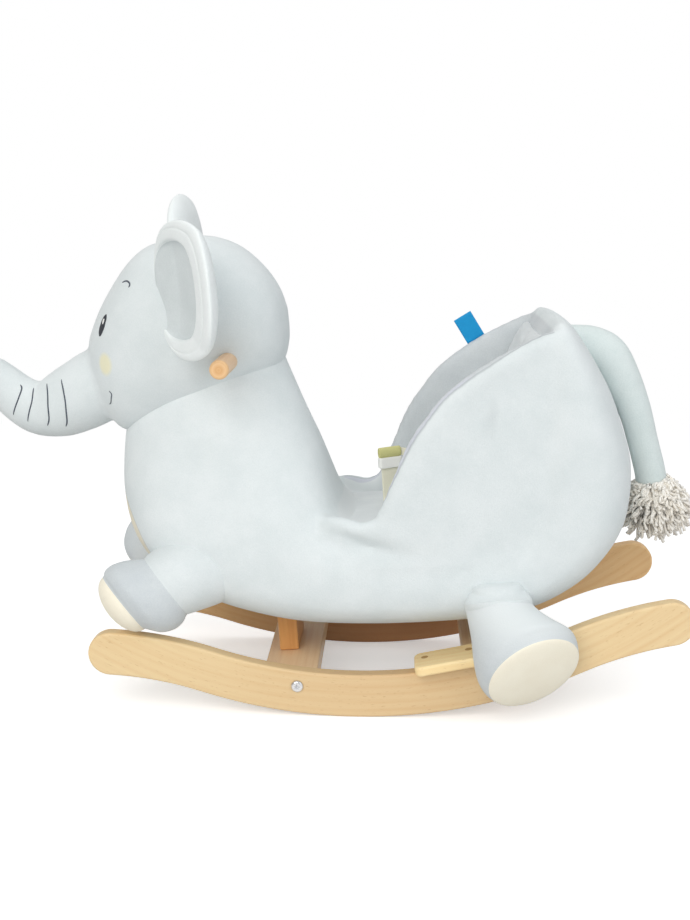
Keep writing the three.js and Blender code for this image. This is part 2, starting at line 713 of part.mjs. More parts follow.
// Padded wall with rounded edges, on the right side.
function wallOnRight() {
  const points = WALL_EDGE_SHARES.map(([x, z]) =>
    new THREE.Vector2(x * BODY_LENGTH, BODY_BASE + z * BODY_HEIGHT));
  const geometry = new THREE.ExtrudeGeometry(new THREE.Shape(points), {
    depth: WALL_THICKNESS - 2 * WALL_EDGE,
    bevelThickness: WALL_EDGE,
    bevelSize: WALL_EDGE,
    bevelOffset: -WALL_EDGE,
    bevelSegments: WALL_EDGE_STEPS,
  });
  geometry.rotateX(90 * DEG);
  geometry.translate(0, WALL_OUTER - WALL_EDGE, 0);
  return geometry;
}

add("seat_wall_left", "plush", largest(cut(mirrored(wallOnRight()), bodyGrown)));
add("seat_wall_right", "plush", largest(cut(wallOnRight(), bodyGrown)));

// Seat cushion and back cushion: the grey liner's pads, crowned, with drawn-in sides
const CUSHION_TUCK = 13; // under the neck
const CUSHION_REAR_GAP = 17; // in front of the back rest
const CUSHION_THICKNESS = 32;
const CUSHION_CROWN = 6;
const CUSHION_PULL = 5; // how far the sides draw in between the corners
const CUSHION_GRID = 12;
const CUSHION_EDGE_ROUND = 9;
const CUSHION_CORNER_SHARE = 0.2;
const wallInner = WALL_OUTER - WALL_THICKNESS;
const cushionBase = seatTop - CUSHION_THICKNESS;
const cushionFront = innerPlace(SEAT_FRONT_ROW).x - CUSHION_TUCK;
const cushionRear = innerPlace(SEAT_REAR_ROW).x - CUSHION_REAR_GAP;

// Pad on a rounded rectangle: rings that step in over the rounded edge and then run over the crown.
// The middle line of the pad lies in the given frame, with thickness along its third axis.
function pad(length, width, thickness, crown, pull, frame) {
  const corner = CUSHION_CORNER_SHARE * Math.min(length, width);
  const outline = roundedRectangle(length, width, corner).getSpacedPoints(4 * CUSHION_GRID).slice(0, -1);
  const rings = [];
  const layer = (inset, height, dome) => outline.map((p) => {
    const sx = 1 - (2 * inset) / length;
    const sy = 1 - (2 * inset) / width;
    const middleX = 1 - (2 * Math.abs(p.x)) / length;
    const middleY = 1 - (2 * Math.abs(p.y)) / width;
    const drawn = Math.max(0, 1 - middleX - middleY);
    const pulled = pull * (1 - drawn);
    const x = Math.sign(p.x) * Math.max(0, Math.abs(p.x) * sx - pulled * (middleX < middleY ? 1 : 0));
    const y = Math.sign(p.y) * Math.max(0, Math.abs(p.y) * sy - pulled * (middleY <= middleX ? 1 : 0));
    return new THREE.Vector3(x, y, height + dome).applyMatrix4(frame);
  });
  const round = CUSHION_EDGE_ROUND;
  rings.push(layer(round, 0, 0));
  rings.push(layer(0, round, 0));
  rings.push(layer(0, thickness - round, 0));
  rings.push(layer(round / 3, thickness - round / 3, 0));
  rings.push(layer(round, thickness, crown / 3));
  rings.push(layer(width / 5, thickness, crown * 0.8));
  rings.push(layer(width / 3, thickness, crown));
  return ringBody(rings);
}

const seatFrame = new THREE.Matrix4().makeTranslation((cushionFront + cushionRear) / 2, 0, cushionBase);
const seatPad = pad(
  cushionRear - cushionFront,
  2 * (wallInner - SLIP),
  CUSHION_THICKNESS,
  CUSHION_CROWN,
  CUSHION_PULL,
  seatFrame,
);
add("seat_cushion", "liner", largest(cut(seatPad, bodyGrown)));

const BACK_CUSHION_LENGTH = 180;
const BACK_CUSHION_THICKNESS = 12;
const BACK_CUSHION_LEAN_DEG = 12.5;
const BACK_CUSHION_TUCK = 3; // of its rear face's foot, into the back rest
const BACK_CUSHION_LIFT = 14; // of its foot above the seat

const backFrame = new THREE.Matrix4().makeTranslation(
  innerPlace(SEAT_REAR_ROW).x + BACK_CUSHION_TUCK,
  0,
  seatTop + BACK_CUSHION_LIFT,
);
backFrame.multiply(new THREE.Matrix4().makeRotationY((BACK_CUSHION_LEAN_DEG - 90) * DEG));
backFrame.multiply(new THREE.Matrix4().makeTranslation(BACK_CUSHION_LENGTH / 2, 0, 0));
const backPad = pad(
  BACK_CUSHION_LENGTH,
  2 * (wallInner - SLIP),
  BACK_CUSHION_THICKNESS + CUSHION_EDGE_ROUND,
  CUSHION_CROWN,
  CUSHION_PULL,
  backFrame,
);
add("back_cushion", "liner", largest(cut(backPad, bodyGrown)));

// Head: sections across X. Each row gives X, top, underside and width, as shares of the head's length,
// height, height and width.
const HEAD_SHARES = [
  [0.0, 0.5, 0.3, 0.12],
  [0.03, 0.56, 0.13, 0.38],
  [0.08, 0.66, 0.03, 0.58],
  [0.15, 0.77, 0.0, 0.74],
  [0.24, 0.885, 0.015, 0.86],
  [0.33, 0.957, 0.035, 0.93],
  [0.43, 0.985, 0.065, 0.98],
  [0.55, 1.0, 0.1, 1.0],
  [0.68, 0.985, 0.15, 0.97],
  [0.8, 0.925, 0.2, 0.88],
  [0.9, 0.82, 0.26, 0.74],
  [0.965, 0.71, 0.32, 0.52],
  [1.0, 0.6, 0.43, 0.16],
];
const HEAD_POWER = 2.15;

function headBody(grow) {
  const rings = HEAD_SHARES.map(([x, top, under, width], row) => {
    const high = headBase + top * HEAD_HEIGHT;
    const low = headBase + under * HEAD_HEIGHT;
    const past = row === 0 ? -grow : row === HEAD_SHARES.length - 1 ? grow : 0;
    const centre = new THREE.Vector3(headFront + x * HEAD_LENGTH + past, 0, (high + low) / 2);
    const upwards = new THREE.Vector3(0, 0, (high - low) / 2 + grow);
    const sideways = new THREE.Vector3(0, (width * HEAD_WIDTH) / 2 + grow, 0);
    return sectionRing(centre, upwards, sideways, HEAD_POWER, BODY_SIDES);
  });
  return ringBody(rings);
}

const neckGrown = ringBody(bodyRings(0, CHEST_END_ROW, SLIP));
add("head", "plush", largest(cut(headBody(0), neckGrown, neckBoard(SLIP), handleBar(SLIP))));

// Rings of a limb: circles square to a smooth line through its places, grown by a clearance.
function limbRings(places, radii, steps, grow) {
  const line = new THREE.CatmullRomCurve3(places);
  const rings = [];
  for (let i = 0; i <= steps; i++) {
    const share = i / steps;
    const at = share * (places.length - 1);
    const k = Math.min(Math.floor(at), places.length - 2);
    const blend = at - k;
    const radius = radii[k] * (1 - blend) + radii[k + 1] * blend + grow;
    const centre = line.getPoint(share);
    const ahead = line.getTangent(share);
    const sideways = new THREE.Vector3(0, 1, 0);
    sideways.addScaledVector(ahead, -sideways.dot(ahead)).normalize();
    const upwards = new THREE.Vector3().crossVectors(ahead, sideways);
    upwards.multiplyScalar(radius);
    sideways.multiplyScalar(radius);
    rings.push(sectionRing(centre, upwards, sideways, 2, LIMB_SIDES));
  }
  return rings;
}

// Trunk: its line is given as shares of its reach and its drop from the root; radii are shares of the
// root's radius.
const TRUNK_SET_IN = 34; // of its root, behind the face
const TRUNK_LIFT = 61; // of its root, above the chin
const TRUNK_REACH = 158;
const TRUNK_DROP = 30;
const TRUNK_RADIUS = 44;
const TRUNK_LINE_SHARES = [
  [0, 0],
  [0.17, -0.25],
  [0.32, -0.6],
  [0.48, -0.95],
  [0.63, -1.03],
  [0.76, -0.75],
  [0.87, -0.25],
  [0.96, 0.25],
  [1.02, 0.6],
  [1.04, 0.72],
];
const TRUNK_RADIUS_SHARES = [1, 0.96, 0.92, 0.84, 0.72, 0.63, 0.55, 0.49, 0.33, 0.1];
const TRUNK_STEPS = 14;

const trunkRoot = new THREE.Vector3(headFront + TRUNK_SET_IN, 0, headBase + TRUNK_LIFT);
const trunkPlaces = TRUNK_LINE_SHARES.map(([reach, drop]) =>
  new THREE.Vector3(-reach * TRUNK_REACH, 0, drop * TRUNK_DROP).add(trunkRoot));
const trunkRadii = TRUNK_RADIUS_SHARES.map((share) => share * TRUNK_RADIUS);
const trunkBody = ringBody(limbRings(trunkPlaces, trunkRadii, TRUNK_STEPS, 0));
add("trunk", "plush", largest(cut(trunkBody, headBody(SLIP), neckGrown)));

// Ears: a cupped, padded flap on a vertical seam at the side of the head. The head looks a little
// towards the left, so the right ear stands further forward, and it also stands higher.
const EAR_SHAPES = {
  left: { behindFace: 113, insideHead: 8, aboveChin: 156, sweepDeg: 36, raiseDeg: 0 },
  right: { behindFace: 95, insideHead: 11, aboveChin: 176, sweepDeg: 5, raiseDeg: 12 },
};
const EAR_HEIGHT = 146;
const EAR_OUT = 116; // from the seam's line to the rim
const EAR_IN = 18; // from the seam's line into the head, where the flap follows the head's side
const EAR_THICKNESS = 19;
const EAR_CUP = 14;
const EAR_FOLD_FORWARD_DEG = 25;
const EAR_FOLD_BACK_DEG = 12;
const EAR_RINGS = 5;
const EAR_SIDES = 28;
const EAR_POWER = 2.3;
const EAR_CLEAR = 0.6;

// Half thickness of the flap at a share of the way from its middle to its rim.
const earSwell = (share) => (EAR_THICKNESS / 2) * Math.sqrt(1 - share ** 6);

// Point of the flap in its own frame: out from the seam along X, up along Z, cupped towards +Y.
function earPoint(share, turn, face) {
  const c = Math.cos(turn);
  const s = Math.sin(turn);
  const out = Math.sign(c) * Math.abs(c) ** (2 / EAR_POWER) * share;
  const up = Math.sign(s) * Math.abs(s) ** (2 / EAR_POWER) * share;
  const x = ((EAR_OUT + EAR_IN) / 2) * (1 + out) - EAR_IN;
  const cup = EAR_CUP * share ** 2 * Math.max(0, out, 0.7 * Math.abs(up));
  return new THREE.Vector3(x, cup + face * earSwell(share), (EAR_HEIGHT / 2) * up);
}

// Flap: rings of points on its back face, then on its front face, then round its rim.
function earFlap() {
  const points = [];
  const turns = Array.from({ length: EAR_SIDES }, (_, i) => (i / EAR_SIDES) * 360 * DEG);
  for (const face of [1, -1]) {
    for (let r = 1; r < EAR_RINGS; r++) {
      for (const turn of turns) points.push(earPoint(r / EAR_RINGS, turn, face));
    }
  }
  const rim = points.length;
  for (const turn of turns) points.push(earPoint(1, turn, 0));
  const index = [];
  for (const face of [0, 1]) {
    const middle = points.push(earPoint(0, 0, face ? -1 : 1)) - 1;
    const base = face * (EAR_RINGS - 1) * EAR_SIDES;
    const corner = (a, b, c) => (face ? index.push(a, c, b) : index.push(a, b, c));
    for (let i = 0; i < EAR_SIDES; i++) {
      const next = (i + 1) % EAR_SIDES;
      corner(middle, base + i, base + next);
      for (let r = 0; r < EAR_RINGS - 1; r++) {
        const inner = base + r * EAR_SIDES;
        const outer = r === EAR_RINGS - 2 ? rim : inner + EAR_SIDES;
        corner(inner + i, outer + i, outer + next);
        corner(inner + i, outer + next, inner + next);
      }
    }
  }
  return facingOut(points, index);
}

// The ear on the right side of the head, clear of the head and the handle through the whole of its fold.
function earOnRight({ behindFace, insideHead, aboveChin, sweepDeg, raiseDeg }) {
  const seamX = headFront + behindFace;
  const seamY = HEAD_WIDTH / 2 - insideHead;
  const middleZ = headBase + aboveChin;
  const flap = earFlap();
  flap.rotateY(-raiseDeg * DEG);
  flap.rotateZ((90 - sweepDeg) * DEG);
  flap.translate(0, 0, middleZ);
  const head = headBody(EAR_CLEAR);
  head.translate(-seamX, -seamY, 0);
  const folds = [-1, -0.75, -0.5, -0.25, 0, 0.25, 0.5, 0.75, 1].map((share) =>
    share * (share < 0 ? EAR_FOLD_FORWARD_DEG : EAR_FOLD_BACK_DEG));
  const handle = handleBar(EAR_CLEAR);
  handle.translate(-seamX, -seamY, 0);
  const cutters = folds.flatMap((fold) => [head, handle].map((piece) => piece.clone().rotateZ(fold * DEG)));
  const placed = largest(cut(flap, ...cutters));
  placed.translate(seamX, seamY, 0);
  return placed;
}

add("ear_left", "plush", mirrored(earOnRight(EAR_SHAPES.left)));
add("ear_right", "plush", earOnRight(EAR_SHAPES.right));

// Legs: a stuffed stub on a curved line from the middle of its sole into the body, with the grey paw up to
// the seam and the pale upper beyond it. Each line has four places, as shares of the body's length, width
// and height. Radii are shares of the paw's, at shares of the line's length.
const LEG_SHAPES = {
  front: {
    lineShares: [
      [-0.5018, 0.460, 0.1616],
      [-0.4571, 0.440, 0.2073],
      [-0.3964, 0.400, 0.2317],
      [-0.3179, 0.312, 0.2683],
    ],
    radius: 45,
    radiusShares: [[0, 0.82], [0.08, 0.92], [0.25, 1], [0.45, 0.97], [0.6, 0.84], [0.8, 0.78], [1, 0.76]],
    seamShare: 0.45,
    soleDome: 15,
  },
  rear: {
    lineShares: [
      [0.2679, 0.648, -0.0793],
      [0.2429, 0.512, -0.0122],
      [0.1946, 0.432, 0.1250],
      [0.1804, 0.240, 0.2012],
    ],
    radius: 56,
    radiusShares: [[0, 0.94], [0.08, 0.99], [0.2, 0.98], [0.35, 0.87], [0.5, 0.72], [0.65, 0.64], [1, 0.62]],
    seamShare: 0.45,
    soleDome: 7,
  },
};
const LEG_STEPS = 5; // rings of the paw, and of the upper
const SOLE_SHARES = [[0, 0.98], [0.3, 0.95], [0.65, 0.78], [0.9, 0.46], [1, 0.14]];

function legLine({ lineShares }) {
  return new THREE.CubicBezierCurve3(...lineShares.map(([x, y, z]) =>
    new THREE.Vector3(x * BODY_LENGTH, y * BODY_WIDTH, BODY_BASE + z * BODY_HEIGHT)));
}

// Value at a share of the way along a table of [share, value] rows.
function along(table, share) {
  const k = Math.max(1, table.findIndex(([at]) => at >= share - 1e-9));
  const [a, b] = [table[k - 1], table[k]];
  return a[1] + ((share - a[0]) / (b[0] - a[0])) * (b[1] - a[1]);
}

// Circle square to a line, round a centre.
function circleRing(centre, line, radius) {
  const u = new THREE.Vector3(0, 0, 1);
  u.addScaledVector(line, -u.dot(line)).normalize();
  const v = new THREE.Vector3().crossVectors(line, u);
  return sectionRing(centre, u.multiplyScalar(radius), v.multiplyScalar(radius), 2, LIMB_SIDES);
}

// Stretch of the leg between two shares of its line.
function legStretch(shape, from, to) {
  const line = legLine(shape);
  const rings = [];
  for (let i = 0; i <= LEG_STEPS; i++) {
    const share = from + (i / LEG_STEPS) * (to - from);
    const radius = shape.radius * along(shape.radiusShares, share);
    rings.push(circleRing(line.getPoint(share), line.getTangent(share), radius));
  }
  return ringBody(rings);
}

// Sole: the padded cap under the paw.
function soleBody(shape) {
  const line = legLine(shape);
  const out = line.getTangent(0).negate();
  const edge = shape.radius * shape.radiusShares[0][1];
  return ringBody(SOLE_SHARES.map(([rise, spread]) => {
    const centre = line.getPoint(0).addScaledVector(out, SLIP + rise * shape.soleDome);
    return circleRing(centre, out, spread * edge);
  }));
}

const footrestScrewHeads = Object.values(footrestScrewXs).map((along) => footrestScrew(along, SLIP, SLIP));
const legClearances = [
  slab(rockerOutline(), 0, ROCKER_OUTER + SLIP),
  footrestOnRight.clone().translate(0, 0, SLIP),
  footrestOnRight.clone().translate(0, SLIP, 0),
  footrestOnRight.clone().translate(0, -SLIP, 0),
  ...footrestScrewHeads,
  barAlongY(
    BOLT_HEAD_RADIUS + SLIP,
    boltXs.rear,
    boltZ,
    ROCKER_OUTER,
    ROCKER_OUTER + BOLT_HEAD_HEIGHT + 2 * SLIP,
  ),
];
const wallGrown = wallOnRight().translate(0, SLIP, 0);
for (const [end, shape] of Object.entries(LEG_SHAPES)) {
  const seamGap = SLIP / legLine(shape).getLength();
  for (const [side, sign] of Object.entries(sides)) {
    const onSide = (geometry) => (sign < 0 ? mirrored(geometry) : geometry);
    const clearances = [bodyGrown, ...[wallGrown, ...legClearances].map(onSide)];
    const upper = onSide(legStretch(shape, shape.seamShare + seamGap, 1));
    add(`${end}_leg_${side}`, "plush", largest(cut(upper, ...clearances)));
    const paw = onSide(legStretch(shape, 0, shape.seamShare));
    add(`${end}_paw_${side}`, "paw", largest(cut(paw, ...clearances)));
    add(`${end}_sole_${side}`, "sole", largest(cut(onSide(soleBody(shape)), ...clearances)));
  }
}

// Tail: hangs from its seam high on the rump. Its line is given as shares of its reach and its drop.
const TAIL_SET_IN = 14; // of its root, into the rump
const TAIL_LIFT = 3; // of its root, above the rail's place
const TAIL_REACH = 91;
const TAIL_DROP = 165;
const TAIL_RADIUS = 17;
const TAIL_LINE_SHARES = [
  [0, 0],
  [0.32, -0.03],
  [0.56, -0.15],
  [0.72, -0.31],
  [0.82, -0.48],
  [0.9, -0.66],
  [0.96, -0.84],
  [1, -1],
];
const TAIL_RADIUS_SHARES = [0.6, 0.7, 0.76, 0.8, 0.84, 0.88, 0.94, 1];
const TAIL_STEPS = 12;
const TAIL_SWING_DEG = 25;

const tailRootX = outerPlace(TAIL_ROW).x - TAIL_SET_IN;
const tailRootZ = outerPlace(TAIL_ROW).z + TAIL_LIFT;
const tailPlaces = TAIL_LINE_SHARES.map(([reach, drop]) =>
  new THREE.Vector3(tailRootX + reach * TAIL_REACH, 0, tailRootZ + drop * TAIL_DROP));
const tailRadii = TAIL_RADIUS_SHARES.map((share) => share * TAIL_RADIUS);

// The rump as the tail meets it when it swings to either side about a line along X through its root.
const swungRumps = [-1, -0.5, 0, 0.5, 1].map((share) => {
  const rump = bodyGrown.clone();
  rump.translate(0, 0, -tailRootZ);
  rump.rotateX(share * TAIL_SWING_DEG * DEG);
  rump.translate(0, 0, tailRootZ);
  return rump;
});
add("tail", "plush", largest(cut(ringBody(limbRings(tailPlaces, tailRadii, TAIL_STEPS, 0)), ...swungRumps)));

// Yarn tuft at the tail's end, as the round mass of its strands
const TUFT_RADIUS = 40;
const TUFT_LENGTH = 72;
const TUFT_SHARES = [[0, 0.42], [0.08, 0.64], [0.25, 0.9], [0.5, 1], [0.75, 0.88], [0.92, 0.6], [1, 0.3]];

const tailLine = new THREE.CatmullRomCurve3(tailPlaces);
const tuftAhead = tailLine.getTangent(1);
const tuftBody = ringBody(TUFT_SHARES.map(([share, spread]) => {
  const centre = tailLine.getPoint(1).addScaledVector(tuftAhead, SLIP + share * TUFT_LENGTH);
  return circleRing(centre, tuftAhead, spread * TUFT_RADIUS);
}));
add("tail_tuft", "yarn", largest(cut(tuftBody, ...swungRumps)));

// Harness: a strap that stands up from the seat and ends in a loop, a slider on the strap, and a belt
// whose halves come from the side walls and end in the loop
const STRAP_SET_FORWARD = 23; // from the seat cushion's middle
const STRAP_WIDTH = 22;
const STRAP_THICKNESS = 3;
const STRAP_HEIGHT = 66; // above the seat
const STRAP_TURN_DEG = 20;
const SLIDER_WIDTH = 28;
const SLIDER_DEPTH = 9;
const SLIDER_HEIGHT = 12;
const SLIDER_BASE = 43; // above the seat
const SLIDER_FIT = 0.4;
const LOOP_BASE = 56; // above the seat
const LOOP_HEIGHT = 6;
const LOOP_LENGTH = 17;
const BELT_WIDTH = 10; // lying flat
const BELT_THICKNESS = 3;
const BELT_STEPS = 8;
const BELT_SHARES = [[0, 0, 0], [0.07, 0.11, -0.2], [0.3, 0.28, -1.6], [0.6, 0.58, -2.5], [1, 1, -3]];
const BELT_BACK = 76; // how far back its end on the wall lies

const strapX = (cushionFront + cushionRear) / 2 - STRAP_SET_FORWARD;
const strapFoot = seatTop + CUSHION_CROWN + SLIP;
const turnStrap = (geometry) => geometry.rotateZ(STRAP_TURN_DEG * DEG).translate(strapX, 0, 0);
const strapHalf = STRAP_WIDTH / 2;
const strapDepth = STRAP_THICKNESS / 2;
const strapTop = strapFoot + STRAP_HEIGHT;
const strapBlock = board(-strapHalf, strapHalf, -strapDepth, strapDepth, strapFoot, strapTop);
const loopBase = strapFoot + LOOP_BASE;
const loopHalf = LOOP_LENGTH / 2;
const loopHole = board(-loopHalf, loopHalf, -OVERRUN, OVERRUN, loopBase, loopBase + LOOP_HEIGHT);
add("crotch_strap", "webbing", turnStrap(cut(strapBlock, loopHole)));
const sliderBase = strapFoot + SLIDER_BASE;
const sliderBlock = board(-SLIDER_WIDTH / 2, SLIDER_WIDTH / 2, -SLIDER_DEPTH / 2, SLIDER_DEPTH / 2,
  sliderBase, sliderBase + SLIDER_HEIGHT);
const sliderSlot = board(-strapHalf - SLIDER_FIT, strapHalf + SLIDER_FIT, -strapDepth - SLIDER_FIT,
  strapDepth + SLIDER_FIT, sliderBase - OVERRUN, sliderBase + SLIDER_HEIGHT + OVERRUN);
add("strap_slider", "plastic", turnStrap(cut(sliderBlock, sliderSlot)));

// Half of the belt: a flat band from inside the loop out and back to the side wall. Its line is given as
// shares of the way back, of the way out and of the belt's width (its drop).
function beltOnRight() {
  const end = wallInner - SLIP;
  const height = loopBase + LOOP_HEIGHT / 2;
  const places = BELT_SHARES.map(([back, out, drop]) =>
    new THREE.Vector3(strapX + back * BELT_BACK, SLIP + out * (end - SLIP), height + drop * BELT_WIDTH));
  const line = new THREE.CatmullRomCurve3(places);
  const rings = [];
  for (let i = 0; i <= BELT_STEPS; i++) {
    const ahead = line.getTangent(i / BELT_STEPS);
    const aside = new THREE.Vector3(ahead.y, -ahead.x, 0).normalize().multiplyScalar(BELT_WIDTH / 2);
    const up = new THREE.Vector3(0, 0, BELT_THICKNESS / 2);
    const centre = line.getPoint(i / BELT_STEPS);
    rings.push([[1, 1], [1, -1], [-1, -1], [-1, 1]].map(([a, b]) =>
      centre.clone().addScaledVector(aside, a).addScaledVector(up, b)));
  }
  for (const p of rings[0]) p.y = SLIP / 2;
  for (const p of rings[BELT_STEPS]) p.y = end;
  return ringBody(rings);
}

add("waist_belt_left", "webbing", mirrored(beltOnRight()));
add("waist_belt_right", "webbing", beltOnRight());

// Sewn tag: a folded ribbon on the edge of the right wall, bare
const TAG_WIDTH = 23;
const TAG_LENGTH = 30;
const TAG_THICKNESS = 1.6;
const TAG_EDGE_SHARE = [0.216, 0.896];
const TAG_SLOPE_DEG = 28;
const TAG_INSET = 6; // from the wall's outer face

function sideTag() {
  const across = TAG_WIDTH / 2;
  const through = TAG_THICKNESS / 2;
  const geometry = board(-across, across, -through, through, -OVERRUN, TAG_LENGTH);
  geometry.rotateY(-TAG_SLOPE_DEG * DEG);
  const [x, z] = TAG_EDGE_SHARE;
  geometry.translate(x * BODY_LENGTH, WALL_OUTER - TAG_INSET, BODY_BASE + z * BODY_HEIGHT);
  return geometry;
}

add("side_tag", "tag", largest(cut(sideTag(), wallOnRight().translate(0, 0, SLIP), wallOnRight())));

// Rest pose: turned nose down about Y onto the chosen flat, lowered to the floor and centred over it.
elephant.rotation.y = -REST_TILT;
elephant.updateMatrixWorld(true);
const restBox = new THREE.Box3().setFromObject(elephant, true);
const restMiddle = restBox.getCenter(new THREE.Vector3());
elephant.position.set(-restMiddle.x, -restMiddle.y, -restBox.min.z);

export default elephant;
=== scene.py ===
"""Rocking elephant: a plush elephant with a bucket seat on two bent beech rockers."""

import math

import bmesh
import bpy
import numpy as np
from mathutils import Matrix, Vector
from mathutils.bvhtree import BVHTree


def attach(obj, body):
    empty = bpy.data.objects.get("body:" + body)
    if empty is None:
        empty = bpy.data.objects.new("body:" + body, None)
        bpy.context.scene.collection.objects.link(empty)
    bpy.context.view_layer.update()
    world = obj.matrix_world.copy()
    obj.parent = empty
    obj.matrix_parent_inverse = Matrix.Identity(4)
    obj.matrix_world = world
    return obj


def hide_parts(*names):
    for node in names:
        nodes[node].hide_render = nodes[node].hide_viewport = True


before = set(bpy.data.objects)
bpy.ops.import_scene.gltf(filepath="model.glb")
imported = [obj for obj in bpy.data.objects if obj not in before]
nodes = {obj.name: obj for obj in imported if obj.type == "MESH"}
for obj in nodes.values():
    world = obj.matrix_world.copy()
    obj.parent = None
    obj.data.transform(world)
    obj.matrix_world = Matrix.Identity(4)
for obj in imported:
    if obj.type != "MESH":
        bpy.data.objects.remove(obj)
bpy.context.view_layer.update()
scene = bpy.context.scene

# The camera stands to the elephant's left, a little above its head and level with the middle of the
# rockers, and looks slightly down. Its lens gives the photograph's angle of view.
camera = bpy.data.objects.new("camera", bpy.data.cameras.new("camera"))
scene.collection.objects.link(camera)
camera.location = (0.0728, -1.3703, 0.5484)
camera.rotation_euler = (math.radians(78.06), 0, math.radians(2.44))
camera.data.sensor_fit = "HORIZONTAL"
camera.data.sensor_width = 36
camera.data.lens = 64.28
scene.camera = camera
scene.view_settings.view_transform = "Standard"


# The studio is a white floor that runs up into the white world, under large soft lamps. Only the
# floor's shadow of the object shows.
class Socket:
    """A shader socket that takes part in sums: each operator adds the Math node of its name."""

    def __init__(self, surface, link):
        self.surface = surface
        self.link = link

    def maths(self, operation, *values):
        return self.surface.node("ShaderNodeMath", {"operation": operation}, dict(enumerate(values)))[0]

    def __add__(self, other):
        return self.maths("ADD", self, other)

    def __sub__(self, other):
        return self.maths("SUBTRACT", self, other)

    def __rsub__(self, other):
        return self.maths("SUBTRACT", other, self)

    def __mul__(self, other):
        return self.maths("MULTIPLY", self, other)

    def __truediv__(self, other):
        return self.maths("DIVIDE", self, other)

    def __pow__(self, other):
        return self.maths("POWER", self, other)

    def __abs__(self):
        return self.maths("ABSOLUTE", self)

    __radd__ = __add__
    __rmul__ = __mul__

    def sine(self):
        return self.maths("SINE", self)

    def least(self, other):
        return self.maths("MINIMUM", self, other)

    def most(self, other):
        return self.maths("MAXIMUM", self, other)

    def arctan2(self, other):
        return self.maths("ARCTAN2", self, other)

    def rise(self, low, high):
        """0 below low, 1 above high and a smooth step between them (the other way round if low > high)."""
        settings = {"interpolation_type": "SMOOTHSTEP"}
        flip = low > high
        ends = {"Value": self, "From Min": min(low, high), "From Max": max(low, high)}
        step = self.surface.node("ShaderNodeMapRange", settings, ends)["Result"]
        return 1 - step if flip else step


class Surface:
    """A material with its Principled shader. Its nodes are made by node() and joined by put()."""

    def __init__(self, name, colour, roughness, **constants):
        self.material = bpy.data.materials.new(name)
        self.material.use_nodes = True
        self.tree = self.material.node_tree
        self.shader = self.tree.nodes["Principled BSDF"]
        self.colour(colour)
        self.rough(roughness)
        for key, value in constants.items():
            self.put(self.shader.inputs[key.replace("_", " ").title().replace("Ior", "IOR")], value)

    def put(self, socket, value):
        if isinstance(value, Socket):
            self.tree.links.new(value.link, socket)
        elif isinstance(value, (tuple, list)) and len(value) == 3 and socket.type == "RGBA":
            socket.default_value = (*value, 1)
        else:
            socket.default_value = value

    def node(self, kind, settings, sockets):
        """Adds a node, sets its settings, fills its sockets and returns its outputs by name and by place."""
        made = self.tree.nodes.new(kind)
        for key, value in settings.items():
            setattr(made, key, value)
        for key, value in sockets.items():
            self.put(made.inputs[key], value)
        outputs = {place: Socket(self, out) for place, out in enumerate(made.outputs)}
        for out in made.outputs:
            if out.enabled:
                outputs[out.name] = Socket(self, out)
        return outputs

    def places(self):
        """Object coordinates as a vector, and as three sockets in metres."""
        place = self.node("ShaderNodeTexCoord", {}, {})["Object"]
        parts = self.node("ShaderNodeSeparateXYZ", {}, {"Vector": place})
        return place, parts["X"], parts["Y"], parts["Z"]

    def vector(self, x, y, z):
        return self.node("ShaderNodeCombineXYZ", {}, {"X": x, "Y": y, "Z": z})["Vector"]

    def noise(self, vector, scale, detail=2.0, roughness=0.5):
        sockets = {"Vector": vector, "Scale": scale, "Detail": detail, "Roughness": roughness}
        return self.node("ShaderNodeTexNoise", {}, sockets)[0]

    def mix(self, share, first, second):
        """Colour between first and second by a share from 0 to 1."""
        made = self.tree.nodes.new("ShaderNodeMix")
        made.data_type = "RGBA"
        for socket, value in zip((made.inputs[0], made.inputs[6], made.inputs[7]), (share, first, second)):
            self.put(socket, value)
        return Socket(self, made.outputs[2])

    def bump(self, height, distance, strength=1.0):
        sockets = {"Height": height, "Distance": distance, "Strength": strength}
        self.put(self.shader.inputs["Normal"], self.node("ShaderNodeBump", {}, sockets)["Normal"])

    def colour(self, value):
        self.put(self.shader.inputs["Base Color"], value)

    def rough(self, value):
        self.put(self.shader.inputs["Roughness"], value)


def tint(code):
    """Scene-linear colour of a six-digit code."""
    share = np.array([int(code[i : i + 2], 16) for i in (0, 2, 4)]) / 255
    linear = np.where(share <= 0.04045, share / 12.92, ((share + 0.055) / 1.055) ** 2.4)
    return tuple(linear.tolist())


def lamp(name, place, aim, size, power, colour="ffffff"):
    light = bpy.data.lights.new(name, "AREA")
    light.shape = "DISK"
    light.size = size
    light.energy = power
    light.color = tint(colour)
    made = bpy.data.objects.new(name, light)
    made.location = place
    made.rotation_euler = (Vector(aim) - Vector(place)).to_track_quat("-Z", "Y").to_euler()
    scene.collection.objects.link(made)


lamp("key_lamp", (-1.0, -2.6, 1.9), (0, 0, 0.25), 2.6, 53, "fffdfa")
lamp("fill_lamp", (2.2, -1.9, 1.5), (0.1, 0, 0.25), 2.6, 25, "f8fbff")
lamp("top_lamp", (0.2, 0.5, 3.0), (0, 0, 0.2), 2.6, 18)

